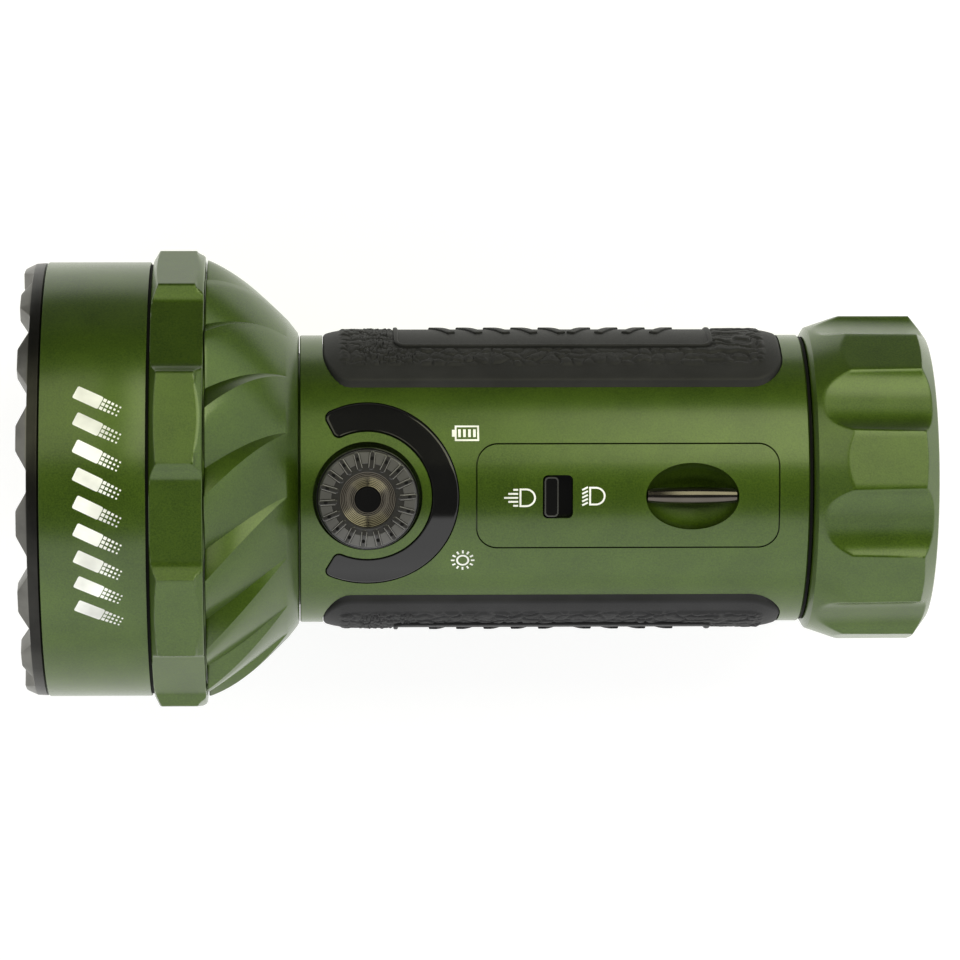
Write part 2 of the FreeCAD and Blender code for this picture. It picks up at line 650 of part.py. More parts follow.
def knob_bushing():
    """Flanged bearing bush in the tube wall, with a gland for the seal."""
    bush = post(13.80, KNOB_WELL_FLOOR, BUSHING_R, SLEEVE_R + RUNNING_GAP)
    return bush.cut(post(16.20, 17.3, 4.00))


def encoder():
    """Rotary encoder with its bore for the sleeve's pin."""
    body = block(KNOB_X - 3.5, KNOB_X + 3.5, -3.5, 3.5, 2.40, 6.40)
    body = body.fuse(post(6.40, 7.20, 2.60)).removeSplitter()
    return body.cut(post(3.60, 8.00, 1.00 + RUNNING_GAP))


def scallop_section(x, floor):
    """Cross-section of a scalloped cut whose middle is a given radius from the axis."""
    edge = [(2.6, 0.0), (3.6, 0.2), (5.8, 1.35), (5.8, 4.0)]
    side = [V(x, y, floor + rise) for y, rise in edge]
    other = [V(x, -y, floor + rise) for y, rise in reversed(edge)]
    return Part.makePolygon(side + other + side[:1])


def cap_outline():
    """Faceted shell of the tail cap: flats and scalloped cuts in turn on a turned blank."""
    blank = turned([(0, 0), (0, CAP_FACE_R), (0.15, CAP_FACE_R + 0.5), (2.25, CAP_R), (12.5, CAP_R),
                    (17.43, 22.02), (CAP_FRONT, TUBE_R), (CAP_FRONT, 0)])
    reach = 30.0
    side = block(-1, CAP_FRONT + 1, -reach, reach, CAP_FLAT_APOTHEM, reach)
    cuts = around(side, CAP_FACETS, CAP_FLAT_PHASE)
    rear = scallop_section(0, CAP_SCALLOP_REAR_R)
    front = scallop_section(CAP_FRONT, CAP_SCALLOP_FRONT_R)
    scallop = Part.makeLoft([rear, front], True, True)
    cuts += around(scallop, CAP_FACETS, CAP_FLAT_PHASE + 180.0 / CAP_FACETS)
    return blank.cut(cuts)


def tail_cap():
    """Screw-on cap; its wall carries the charge contacts and the magnet."""
    inside = tube(CAP_FLOOR, CAP_FRONT + 1, CAP_BORE_R)
    contacts = tube(-1, CAP_FLOOR, 8.80)
    magnet = tube(1.80, CAP_FLOOR, 12.00)
    return cap_outline().cut([inside, contacts, magnet])


NODES = {
    "strike_bezel": [strike_bezel()],
    "lens": [lens()],
    "lens_seal": [tube(LENS_FRONT, BEZEL_LIP_REAR, LENS_R, 27.0)],
    "reflector": [reflector()],
    "spot_led_board": [tube(SPOT_BOARD_REAR, SPOT_BOARD_REAR + BOARD_THICKNESS, 10.0)
                       .cut(led_wires() + board_screws())],
    "spot_led": [led_chip(103.20, 5.0, 0.7, 0)],
    "led_centring_ring": [tube(103.20, SPOT_CUP_REAR, 5.8).cut(led_chip(103.20, 5.2, 1.0, 0))],
    "flood_led_board": [tube(FLOOD_BOARD_REAR, FLOOD_BOARD_REAR + BOARD_THICKNESS, 28.3, 13.7)
                        .cut(led_wires() + board_screws())],
    "flood_leds": around(led_chip(113.80, 3.4, 0.8, FLOOD_CIRCLE_R), FLOOD_CUPS),
    "colour_leds": around(led_chip(113.80, 1.6, 0.7, COLOUR_CIRCLE_R), COLOUR_LEDS, 180.0 / FLOOD_CUPS),
    "board_screws": board_screws(),
    "led_wires": led_wires(),
    "head_barrel": [head_barrel()],
    "barrel_seal": [tube(RING_FRONT, BARREL_REAR, 31.30, RING_BORE_R)],
    "grip_ring": [grip_ring()],
    "heatsink_bell": [heatsink_bell()],
    "driver_board": [tube(92.60, 94.20, 15.40).cut(led_wires())],
    "driver_parts": driver_parts(),
    "driver_retainer_ring": [tube(94.20, 96.20, 15.55, 15.00)],
    "body_tube": [body_tube()],
    "grip_pad_left": [grip_pad(-1)],
    "grip_pad_right": [grip_pad(1)],
    "indicator_window": [indicator_window()],
    "indicator_strip": [indicator_strip()],
    "indicator_leds": indicator_leds(),
    "control_panel": [control_panel(lanyard_bar())],
    "lanyard_bar": [lanyard_bar()],
    "selector_slider": [selector_slider()],
    "selector_switch": [selector_switch()],
    "knob_base": [post(KNOB_BOTTOM, 20.20, KNOB_BASE_R).cut([post(18, 19.20, 3.80), knob_stem()])],
    "knob_crown": [knob_crown()],
    "knob_insert": [post(22.50, 23.10, 4.00)],
    "knob_centre_cap": [post(23.10, 23.50, 1.80)],
    "knob_stem": [knob_stem()],
    "knob_drive_sleeve": [knob_drive_sleeve()],
    "knob_bushing": [knob_bushing()],
    "knob_seal": [post(16.20, 17.10, 4.00, SLEEVE_R + RUNNING_GAP)],
    "knob_spring": [knob_spring()],
    "encoder": [encoder()],
    "switch_board": [block(KNOB_X - 3.6, KNOB_X + 7.4, -8.0, 8.0, 1.00, 2.40)],
    "contact_board": [tube(75.60, 76.60, 15.50)],
    "front_contact_spring": [coil(V(74.55, 0, 0), BEAM, 3.2, 0.3, 0.7, 1)],
    "battery_cell": [tube(8.00, 73.50, BATTERY_R)],
    "battery_positive_cap": [tube(73.50, 74.20, 4.6)],
    "battery_negative_plate": [tube(7.70, 8.00, 14.5)],
    "tail_seal": [tube(18.20, TUBE_REAR_SHOULDER, 20.70, TUBE_THREAD_R)],
    "tail_o_ring": [tube(15.30, 16.50, 19.52, 18.30)],
    "tail_contact_plate": [tube(3.50, 4.30, 15.0)],
    "tail_spring": [coil(V(4.85, 0, 0), BEAM, 6.0, 0.45, 2.2, 2)],
    "tail_cap": [tail_cap()],
    "charge_magnet": [tube(1.80, CAP_FLOOR, 12.00, 8.80)],
    "charge_ring": [tube(0, CAP_FLOOR, 8.80, 5.0)],
    "charge_insulator": [tube(0, CAP_FLOOR, 5.0, 3.2)],
    "charge_pin": [tube(0, CAP_FLOOR, 3.2)],
}

os.makedirs("parts", exist_ok=True)
for node, solids in NODES.items():
    save(node, Part.makeCompound(solids))
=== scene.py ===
import json
import math
import bpy
import numpy as np
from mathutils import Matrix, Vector


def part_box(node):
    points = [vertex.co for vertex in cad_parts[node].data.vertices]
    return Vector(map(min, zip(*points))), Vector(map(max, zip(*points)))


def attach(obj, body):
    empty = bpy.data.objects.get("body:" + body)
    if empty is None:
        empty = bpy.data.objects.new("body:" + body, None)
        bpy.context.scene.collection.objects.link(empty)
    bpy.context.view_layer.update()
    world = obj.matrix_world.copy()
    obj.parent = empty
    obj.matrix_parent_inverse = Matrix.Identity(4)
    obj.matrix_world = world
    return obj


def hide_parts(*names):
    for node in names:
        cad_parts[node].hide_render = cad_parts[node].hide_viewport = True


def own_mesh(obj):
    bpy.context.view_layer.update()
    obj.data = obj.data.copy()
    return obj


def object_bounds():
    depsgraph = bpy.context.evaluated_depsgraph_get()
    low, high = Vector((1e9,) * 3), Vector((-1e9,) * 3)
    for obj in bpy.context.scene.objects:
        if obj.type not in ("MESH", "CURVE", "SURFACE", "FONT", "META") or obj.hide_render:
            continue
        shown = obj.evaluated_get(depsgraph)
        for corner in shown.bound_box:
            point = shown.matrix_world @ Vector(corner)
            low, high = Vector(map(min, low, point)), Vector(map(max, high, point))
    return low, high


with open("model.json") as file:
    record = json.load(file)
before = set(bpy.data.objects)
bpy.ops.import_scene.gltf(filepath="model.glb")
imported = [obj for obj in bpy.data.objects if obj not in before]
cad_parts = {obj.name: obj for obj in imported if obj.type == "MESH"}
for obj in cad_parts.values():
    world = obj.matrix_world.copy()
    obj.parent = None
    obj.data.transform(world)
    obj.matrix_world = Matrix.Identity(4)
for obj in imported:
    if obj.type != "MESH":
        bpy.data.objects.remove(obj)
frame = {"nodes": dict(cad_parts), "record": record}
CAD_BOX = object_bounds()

# Looks of a tactical flashlight. +X is along the beam, +Z is the side with the controls.
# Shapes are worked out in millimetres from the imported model's boxes and then scaled to metres.
# Angles about the beam start at +Z and grow towards +Y.
MM = 0.001


def span(node, axis=0):
    """Lowest and highest coordinate of a CAD node along one axis, in millimetres."""
    low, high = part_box(node)
    return low[axis] / MM, high[axis] / MM


BEZEL_START, BEZEL_TIP = span("strike_bezel")
BARREL_REAR, BARREL_FRONT = span("head_barrel")
RING_REAR, RING_FRONT = span("grip_ring")
BELL_REAR, SPIGOT_FRONT = span("heatsink_bell")
CAP_REAR, CAP_FRONT = span("tail_cap")
PAD_REAR, PAD_FRONT = span("grip_pad_right")
BARREL_R = span("head_barrel", 1)[1]
BODY_R = span("body_tube", 1)[1]
PAD_R = span("grip_pad_right", 1)[1]
CAP_R = span("tail_cap", 1)[1]
KNOB_X = sum(span("knob_stem")) / 2
KNOB_BASE_Z, KNOB_TOP = span("knob_crown", 2)


# ---------------------------------------------------------------- mesh tools

def wrap(x, radius, degrees):
    """Points from positions along the beam, radii and angles about it, in metres."""
    turn = np.radians(degrees)
    x, radius, turn = np.broadcast_arrays(x, radius, turn)
    return np.stack([x, radius * np.sin(turn), radius * np.cos(turn)], -1) * MM


def grid_faces(rows, columns, close_rows=True, close_columns=True):
    """Quads of a grid of points, joined end to end where asked."""
    row = np.arange(rows if close_rows else rows - 1)
    column = np.arange(columns if close_columns else columns - 1)
    r, c = np.meshgrid(row, column, indexing="ij")
    r2 = (r + 1) % rows
    c2 = (c + 1) % columns
    quads = np.stack([r * columns + c, r * columns + c2, r2 * columns + c2, r2 * columns + c], -1)
    return quads.reshape(-1, 4)


def outward(mesh):
    """Turn a closed mesh the right way out."""
    count = len(mesh.vertices)
    places = np.zeros(count * 3)
    mesh.vertices.foreach_get("co", places)
    places = places.reshape(-1, 3)
    mesh.calc_loop_triangles()
    corners = np.zeros(len(mesh.loop_triangles) * 3, int)
    mesh.loop_triangles.foreach_get("vertices", corners)
    a, b, c = places[corners.reshape(-1, 3)].transpose(1, 0, 2)
    if np.einsum("ij,ij->", a, np.cross(b, c)) < 0:
        mesh.flip_normals()


def piece(name, points, faces, material, body, slot, replaces=(), crease=32.0, closed=True):
    """Mesh object that rides on a body, with its finish and the CAD nodes it stands for."""
    mesh = bpy.data.meshes.new(name)
    mesh.from_pydata(np.asarray(points).reshape(-1, 3).tolist(), [], [list(map(int, f)) for f in faces])
    mesh.validate()
    if closed:
        outward(mesh)
    mesh.shade_smooth()
    mesh.set_sharp_from_angle(angle=math.radians(crease))
    obj = bpy.data.objects.new(name, mesh)
    bpy.context.scene.collection.objects.link(obj)
    mesh.materials.append(material)
    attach(obj, body)
    if replaces:
        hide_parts(*replaces)
    return obj


def lathe(name, profile, material, body, slot, replaces=(), columns=256, crease=32.0):
    """Closed ring turned about the beam from a loop of (x, radius) points."""
    angles = np.arange(columns) * 360.0 / columns
    x, radius = np.array(profile).T
    points = wrap(x[:, None], radius[:, None], angles[None, :])
    return piece(name, points, grid_faces(len(profile), columns), material, body, slot, replaces, crease)


def eased(profile, ease, steps=3):
    """Loop of (x, radius) points with each corner cut by a small arc."""
    points = np.array(profile, float)
    result = []
    for index, corner in enumerate(points):
        before = points[index - 1] - corner
        after = points[(index + 1) % len(points)] - corner
        reach = min(ease, 0.45 * np.linalg.norm(before), 0.45 * np.linalg.norm(after))
        start = corner + before / np.linalg.norm(before) * reach
        end = corner + after / np.linalg.norm(after) * reach
        for part in np.linspace(0, 1, steps):
            result.append((1 - part) ** 2 * start + 2 * part * (1 - part) * corner + part ** 2 * end)
    return np.array(result)


def soft_min(a, b, width):
    """Lower of two heights, with the crease between them rounded."""
    gap = np.clip(0.5 + 0.5 * (b - a) / width, 0, 1)
    return b * (1 - gap) + a * gap - width * gap * (1 - gap)


# ---------------------------------------------------------------- materials

class Nodes:
    """Short way to add linked shader nodes to one material."""

    def __init__(self, name):
        self.material = bpy.data.materials.new(name)
        self.material.use_nodes = True
        self.tree = self.material.node_tree
        self.shader = self.tree.nodes["Principled BSDF"]
        self.place = self.add("ShaderNodeTexCoord").outputs["Object"]

    def add(self, kind, **settings):
        """New node with its attributes and its sockets set."""
        node = self.tree.nodes.new(kind)
        for key, value in settings.items():
            if hasattr(node, key):
                setattr(node, key, value)
            else:
                node.inputs[key.replace("_", " ")].default_value = value
        return node

    def link(self, source, target):
        """Join two sockets."""
        self.tree.links.new(source, target)

    def noise(self, scale, detail=3.0, roughness=0.5):
        """Noise of a given scale, per metre, in the object's own space."""
        node = self.add("ShaderNodeTexNoise", Scale=scale, Detail=detail, Roughness=roughness)
        self.link(self.place, node.inputs["Vector"])
        return node.outputs["Fac"]

    def ramp(self, source, stops):
        """Colour ramp with (position, colour) stops."""
        node = self.add("ShaderNodeValToRGB")
        while len(node.color_ramp.elements) < len(stops):
            node.color_ramp.elements.new(0.5)
        for element, (position, colour) in zip(node.color_ramp.elements, stops):
            element.position = position
            element.color = (*colour, 1.0)
        self.link(source, node.inputs["Fac"])
        return node.outputs["Color"]

    def range(self, source, low, high):
        """Factor of 0 to 1 mapped on to a range."""
        node = self.add("ShaderNodeMapRange")
        node.inputs["To Min"].default_value = low
        node.inputs["To Max"].default_value = high
        self.link(source, node.inputs["Value"])
        return node.outputs["Result"]

    def bump(self, height, strength, distance):
        """Bump from a height, joined to any bump that is there already."""
        node = self.add("ShaderNodeBump", Strength=strength, Distance=distance)
        self.link(height, node.inputs["Height"])
        normal = self.shader.inputs["Normal"]
        if normal.is_linked:
            self.link(normal.links[0].from_socket, node.inputs["Normal"])
        self.link(node.outputs["Normal"], normal)

    def set(self, **sockets):
        """Uniform values on the shader's own sockets."""
        for key, value in sockets.items():
            self.shader.inputs[key.replace("_", " ")].default_value = value


def anodised_green():
    """Fine-blasted, anodised aluminium."""
    m = Nodes("anodised_green")
    m.set(Metallic=1.0, Coat_Weight=1.0, Coat_Roughness=0.24, Coat_IOR=1.50,
          Specular_Tint=(0.5, 0.55, 0.4, 1.0))
    cloud = m.noise(160.0, 4.0)
    grain = m.noise(4200.0, 2.0)
    mixed = m.add("ShaderNodeMath", operation="ADD")
    m.link(m.range(cloud, 0.0, 0.35), mixed.inputs[0])
    m.link(m.range(grain, 0.0, 0.65), mixed.inputs[1])
    colour = m.ramp(mixed.outputs[0], [(0.36, GREEN_DEEP), (0.64, GREEN_LIGHT)])
    m.link(colour, m.shader.inputs["Base Color"])
    m.link(m.range(grain, 0.46, 0.64), m.shader.inputs["Roughness"])
    m.bump(grain, 0.5, 0.00004)
    return m.material


BEZEL_BAND = 0.12945


def dark_steel():
    """Blasted dark steel of the bezel, blacker on the plain band behind the teeth."""
    m = Nodes("dark_steel")
    m.set(Metallic=1.0, Roughness=0.36)
    cloud = m.noise(300.0, 4.0)
    grain = m.noise(7000.0, 2.0)
    tone = m.ramp(cloud, [(0.3, (0.12, 0.118, 0.108)), (0.7, (0.17, 0.167, 0.152))])
    split = m.add("ShaderNodeSeparateXYZ")
    m.link(m.place, split.inputs[0])
    band = m.add("ShaderNodeMapRange")
    for socket, value in (("From Min", BEZEL_BAND - 0.00006), ("From Max", BEZEL_BAND + 0.00006),
                          ("To Min", 0.22), ("To Max", 1.0)):
        band.inputs[socket].default_value = value
    m.link(split.outputs["X"], band.inputs["Value"])
    shade = m.add("ShaderNodeVectorMath", operation="SCALE")
    m.link(tone, shade.inputs[0])
    m.link(band.outputs[0], shade.inputs["Scale"])
    m.link(shade.outputs[0], m.shader.inputs["Base Color"])
    m.link(m.range(grain, 0.28, 0.46), m.shader.inputs["Roughness"])
    m.bump(grain, 0.3, 0.00003)
    return m.material


def moulded(name, colour, roughness, grain_scale, strength, coat=0.0, shine=0.5):
    """Moulded plastic or rubber with a fine skin."""
    m = Nodes(name)
    m.set(Coat_Weight=coat, Coat_Roughness=0.08, Specular_IOR_Level=shine)
    cloud = m.noise(grain_scale / 30.0, 3.0)
    grain = m.noise(grain_scale, 3.0)
    m.link(m.ramp(cloud, [(0.3, tuple(0.8 * c for c in colour)), (0.7, tuple(1.25 * c for c in colour))]),
           m.shader.inputs["Base Color"])
    m.link(m.range(grain, 0.8 * roughness, 1.2 * roughness), m.shader.inputs["Roughness"])
    m.bump(grain, strength, 0.00004)
    return m.material


def bare_metal(name, colour, roughness, grain_scale=5000.0):
    """Plated or polished metal with faint handling marks."""
    m = Nodes(name)
    m.set(Metallic=1.0)
    cloud = m.noise(400.0, 4.0)
    grain = m.noise(grain_scale, 2.0)
    m.link(m.ramp(cloud, [(0.3, tuple(0.88 * c for c in colour)), (0.7, colour)]),
           m.shader.inputs["Base Color"])
    m.link(m.range(cloud, roughness * 0.75, roughness * 1.3), m.shader.inputs["Roughness"])
    m.bump(grain, 0.1, 0.00001)
    return m.material


def clear(name, colour, roughness, ior=1.49):
    """Clear plastic or glass."""
    m = Nodes(name)
    m.set(Transmission_Weight=1.0, IOR=ior)
    cloud = m.noise(600.0, 2.0)
    m.link(m.ramp(cloud, [(0.3, tuple(0.94 * c for c in colour)), (0.7, colour)]),
           m.shader.inputs["Base Color"])
    m.link(m.range(cloud, roughness, roughness * 1.8), m.shader.inputs["Roughness"])
    return m.material


GREEN_DEEP = (0.040, 0.078, 0.0035)
GREEN_LIGHT = (0.071, 0.128, 0.008)
GREEN = anodised_green()
STEEL = dark_steel()
RUBBER = moulded("pad_rubber", (0.0155, 0.0155, 0.0165), 0.60, 5000.0, 0.3, shine=0.25)
SEAL = moulded("seal_rubber", (0.004, 0.004, 0.004), 0.7, 4000.0, 0.2, shine=0.1)
BLACK = moulded("black_plastic", (0.02, 0.02, 0.02), 0.45, 5000.0, 0.2)
GLOSS = moulded("gloss_black", (0.004, 0.004, 0.004), 0.10, 3000.0, 0.0, coat=0.0)
BOARD = moulded("circuit_board", (0.03, 0.10, 0.05), 0.4, 3000.0, 0.1)
BOARD_WHITE = moulded("board_core", (0.7, 0.7, 0.68), 0.45, 3000.0, 0.1)
PHOSPHOR = moulded("led_yellow", (0.8, 0.6, 0.12), 0.3, 3000.0, 0.05)
LED_WHITE = moulded("led_white", (0.75, 0.76, 0.74), 0.25, 3000.0, 0.05)
WIRE = moulded("wire_sleeve", (0.4, 0.03, 0.025), 0.35, 3000.0, 0.05)
WRAP = moulded("battery_wrap", (0.04, 0.04, 0.045), 0.3, 2000.0, 0.05)
PRINT = moulded("white_print", (0.85, 0.86, 0.84), 0.5, 6000.0, 0.05)
CHROME_DARK = bare_metal("dark_chrome", (0.105, 0.094, 0.080), 0.14)
CHROME = bare_metal("reflector_chrome", (0.88, 0.88, 0.9), 0.05)
SPRING = bare_metal("spring_steel", (0.55, 0.55, 0.56), 0.25)
BRASS = bare_metal("brass_contact", (0.75, 0.56, 0.26), 0.22)
NICKEL = bare_metal("magnet_nickel", (0.6, 0.6, 0.6), 0.25)
GLASS = clear("lens_glass", (0.97, 0.99, 1.0), 0.01, 1.52)
SMOKED = clear("smoked_plastic", (0.62, 0.62, 0.60), 0.04)
KNOB_METAL = bare_metal("knob_metal", (0.125, 0.112, 0.088), 0.20)
CROWN = moulded("crown_plastic", (0.028, 0.027, 0.026), 0.16, 3000.0, 0.03, coat=0.3)
FACET = moulded("crown_facet", (0.085, 0.083, 0.081), 0.22, 3000.0, 0.03, coat=0.2)
# Grey of the slider's raised rim, lighter than the black bar: painted highlight on its rounded edge
SLIDER_RIM_HIGHLIGHT = moulded("slider_edge_painted_highlight", (0.055, 0.055, 0.053), 0.18, 3000.0, 0.03, coat=0.4)
# Light grey of the strips along the crown's rib edges: painted highlight
CROWN_EDGE_HIGHLIGHT = moulded("crown_edge", (0.20, 0.195, 0.19), 0.2, 3000.0, 0.03, coat=0.2)

SLOT_MATERIALS = {
    "green_anodised": GREEN, "dark_steel": STEEL, "lens_glass": GLASS, "seal_rubber": SEAL,
    "reflector_chrome": CHROME, "board_core": BOARD_WHITE, "circuit_board": BOARD,
    "led_yellow": PHOSPHOR, "led_white": LED_WHITE, "black_plastic": BLACK, "spring_steel": SPRING,
    "wire_sleeve": WIRE, "brass_contact": BRASS, "pad_rubber": RUBBER, "gloss_black": GLOSS,
    "dark_chrome": CHROME_DARK, "smoked_plastic": SMOKED, "knob_metal": KNOB_METAL,
    "slider_black": GLOSS, "battery_wrap": WRAP, "magnet_nickel": NICKEL,
}


def dress_cad_nodes():
    """Give every CAD node the material of its slot."""
    for row in frame["record"]["subparts"]:
        obj = frame["nodes"][row["node"]]
        material = SLOT_MATERIALS[row["material_slot"]]
        if not obj.material_slots:
            obj.data.materials.append(material)
        for place in obj.material_slots:
            place.material = material


# ---------------------------------------------------------------- head

BEZEL_TEETH = 16
BEZEL_PHASE = 4.4
BEZEL_NOTCH = 1.50


def bezel():
    """Toothed front ring: each column of the ring ends at the height of its tooth or notch."""
    pitch = 360.0 / BEZEL_TEETH
    steps = np.array([0, 0.10, 0.135, 0.15, 0.165, 0.20, 0.26, 0.32, 0.355, 0.37, 0.385, 0.42, 0.5])
    drop = np.interp(steps, [0, 0.135, 0.15, 0.165, 0.355, 0.37, 0.385, 0.5],
                     [0, 0, 0.02, 0.07, 0.93, 0.98, 1.0, 1.0])
    half = np.concatenate([steps, 1 - steps[-2:0:-1]])
    drops = np.concatenate([drop, drop[-2:0:-1]])
    angles = (BEZEL_PHASE + pitch * (np.arange(BEZEL_TEETH)[:, None] + half[None, :])).ravel()
    tip = BEZEL_TIP - BEZEL_NOTCH * np.tile(drops, BEZEL_TEETH)
    rear = BARREL_FRONT + 0.2
    ease = 0.18
    band = np.minimum(129.45, tip - 0.15)
    x = np.stack([0 * tip + BEZEL_START, 0 * tip + rear - 0.2, 0 * tip + rear - 0.19, 0 * tip + rear,
                  0 * tip + rear + 0.05, 0 * tip + rear + 0.2, band, np.maximum(band + 0.02, np.minimum(129.65, tip - 0.08)),
                  np.maximum(band + 0.04, tip - ease),
                  tip - 0.3 * ease, tip, tip, tip - 0.3 * ease, tip - ease, 0 * tip + 127.7,
                  0 * tip + 127.6, 0 * tip + 127.0, 0 * tip + 127.0, 0 * tip + BEZEL_START])

    def outer(place):
        """Outer radius of the cone behind the teeth."""
        return np.interp(place, [rear, 129.45, 129.65, BEZEL_TIP], [31.52, 31.44, 31.34, 30.78])

    def inner(place):
        """Radius of the sloping inner lip."""
        return np.interp(place, [127.6, BEZEL_TIP], [26.65, 28.3])

    radii = [0 * tip + 29.85, 0 * tip + 29.85, 0 * tip + 31.20, 0 * tip + 31.35,
             0 * tip + 31.48, outer(x[5]), outer(x[6]), outer(x[7]), outer(x[8]),
             outer(x[9]) - 0.3 * ease, outer(x[10]) - ease, inner(x[11]) + ease, inner(x[12]) + 0.3 * ease,
             inner(x[13]), 0 * tip + 26.75, 0 * tip + 26.6, 0 * tip + 26.6, 0 * tip + 28.9, 0 * tip + 28.9]
    points = wrap(x, np.stack(radii), angles[None, :])
    piece("bezel_ring", points, grid_faces(len(radii), len(angles)), STEEL, "root", "dark_steel",
          ["strike_bezel"], crease=28)


def barrel():
    """Plain head barrel with eased ends."""
    loop = eased([(BARREL_REAR, 30.05), (BARREL_REAR, BARREL_R), (BARREL_FRONT, BARREL_R),
                  (BARREL_FRONT, 29.9), (121.0, 29.9), (121.0, 28.6), (118.2, 28.6), (118.2, 30.05)], 0.2)
    lathe("barrel_shell", loop, GREEN, "root", "green_anodised", ["head_barrel"])


RING_FACETS = 7
RING_PHASE = -22.3
RING_APOTHEM = 33.15
RING_RECESS_APOTHEM = 31.72
RING_RAISED_HALF = 11.6
RING_RECESS_HALF = 10.1


def ring_radius(angles):
    """Radius of the grip ring's outline, with the creases rounded."""
    pitch = 360.0 / RING_FACETS
    offset = np.abs((angles - RING_PHASE + pitch / 2) % pitch - pitch / 2)
    raised = RING_APOTHEM / np.cos(np.radians(offset))
    floor = RING_RECESS_APOTHEM / np.cos(np.radians(pitch / 2 - offset))
    floor_start = pitch / 2 - RING_RECESS_HALF
    part = np.clip((offset - RING_RAISED_HALF) / (floor_start - RING_RAISED_HALF), 0, 1)
    corner = RING_APOTHEM / math.cos(math.radians(RING_RAISED_HALF))
    foot = RING_RECESS_APOTHEM / math.cos(math.radians(RING_RECESS_HALF))
    step = corner + (foot - corner) * (1 - (1 - part) ** 1.8)
    return np.where(offset < RING_RAISED_HALF, raised, np.where(offset > floor_start, floor, step))


def grip_ring():
    """Facetted ring: the facets cut into a turned blank with a chamfer at each end."""
    angles = np.arange(0, 360, 0.5)
    facet = ring_radius(angles)
    facet = (np.roll(facet, 1) + 2 * facet + np.roll(facet, -1)) / 4
    x = np.concatenate([[RING_REAR, RING_REAR, RING_REAR + 0.05, RING_REAR + 0.15],
                        np.linspace(RING_REAR + 0.3, RING_REAR + 2.2, 14),
                        np.linspace(RING_REAR + 2.6, RING_FRONT - 1.7, 5),
                        np.linspace(RING_FRONT - 1.5, RING_FRONT - 0.15, 12),
                        [RING_FRONT - 0.05, RING_FRONT, RING_FRONT]])
    blank = np.interp(x, [RING_REAR, RING_REAR + 1.0, RING_REAR + 1.5, RING_FRONT - 1.25, RING_FRONT],
                      [32.75, 33.40, 34.2, 34.2, 31.85])
    rows = [soft_min(level, facet, 0.18) for level in blank]
    rows = np.array(rows)
    lip = [(0, -1.2), (1, -0.16), (2, -0.06), (-1, -1.2), (-2, -0.16), (-3, -0.06)]
    for row, shift in lip:
        rows[row] += shift
    rows[0] = 30.05
    rows[-1] = 30.05
    points = wrap(x[:, None], rows, angles[None, :])
    piece("facet_ring", points, grid_faces(len(x), len(angles)), GREEN, "root", "green_anodised",
          ["grip_ring"], crease=26)


FINS = 16
FIN_PHASE = -2.9
FIN_SWEEP = 23.3
FIN_DEPTH = 2.5
FIN_FADE_X = 93.2
FIN_LAND = 0.105
FIN_VALLEY = 0.68


def bell():
    """Flared heatsink: lands and rounded asymmetric valleys that spiral to the neck and fade out."""
    front = RING_REAR - 0.2
    x = np.concatenate([np.linspace(BELL_REAR + 0.12, front - 0.3, 70), [front - 0.12, front]])
    crest = 1.90 + np.sqrt(33.08 ** 2 - (x - 118.39) ** 2)
    crest[-1] -= 0.15
    crest[-2] -= 0.03
    strength = np.clip((x - FIN_FADE_X) / (front - FIN_FADE_X), 0, None) ** 0.75
    sweep = FIN_SWEEP * (front - x) / (front - BELL_REAR)
    valley = FIN_VALLEY + (0.99 - FIN_VALLEY) * np.clip(1 - strength, 0, 1)
    descent = np.concatenate([np.linspace(0, 0.94, 20), [0.97, 0.985, 1.0]])
    climb = np.concatenate([[0.03, 0.08, 0.16], np.linspace(0.27, 0.93, 7), [0.97]])
    down = FIN_LAND + (valley[:, None] - FIN_LAND) * descent[None, :]
    up = valley[:, None] + (1 - valley[:, None]) * climb[None, :]
    land = np.array([0, 0.25, 0.55, 0.85])[None, :] * FIN_LAND + 0 * valley[:, None]
    u = np.concatenate([land, down, up], axis=1)
    fall = np.concatenate([0 * land + 0.02 * land / FIN_LAND, 0.02 + 0.90 * descent[None, :] ** 1.35 + 0 * down,
                           0.92 * (1 - climb[None, :]) + 0 * up], axis=1)
    radii = crest[:, None] - FIN_DEPTH * strength[:, None] * fall
    radii = np.tile(radii, (1, FINS))
    turns = 360.0 / FINS * (np.repeat(np.arange(FINS), u.shape[1])[None, :] + np.tile(u, (1, FINS)))
    angles = FIN_PHASE - sweep[:, None] + turns
    inside = [(front, 30.0), (SPIGOT_FRONT, 30.0), (SPIGOT_FRONT, 28.5), (112.2, 28.5), (112.2, 13.6),
              (101.6, 13.6), (101.6, 0.5), (98.0, 0.5), (98.0, 18.45), (BELL_REAR, 18.45),
              (BELL_REAR, 20.75)]
    end_x = np.array([place for place, _ in inside])[:, None] + 0 * turns[:1]
    end_r = np.array([radius for _, radius in inside])[:, None] + 0 * turns[:1]
    end_angle = np.concatenate([np.repeat(angles[-1:], 9, 0), np.repeat(angles[:1], 2, 0)])
    all_x = np.concatenate([np.repeat(x[:, None], turns.shape[1], 1), end_x])
    all_r = np.concatenate([radii, end_r])
    all_angle = np.concatenate([angles, end_angle])
    points = wrap(all_x, all_r, all_angle)
    piece("finned_bell", points, grid_faces(len(all_x), turns.shape[1]), GREEN, "root", "green_anodised",
          ["heatsink_bell"], crease=24)


# ---------------------------------------------------------------- tail cap

CAP_FACETS = 8
CAP_PHASE = -13.4
CAP_APOTHEM = 23.38


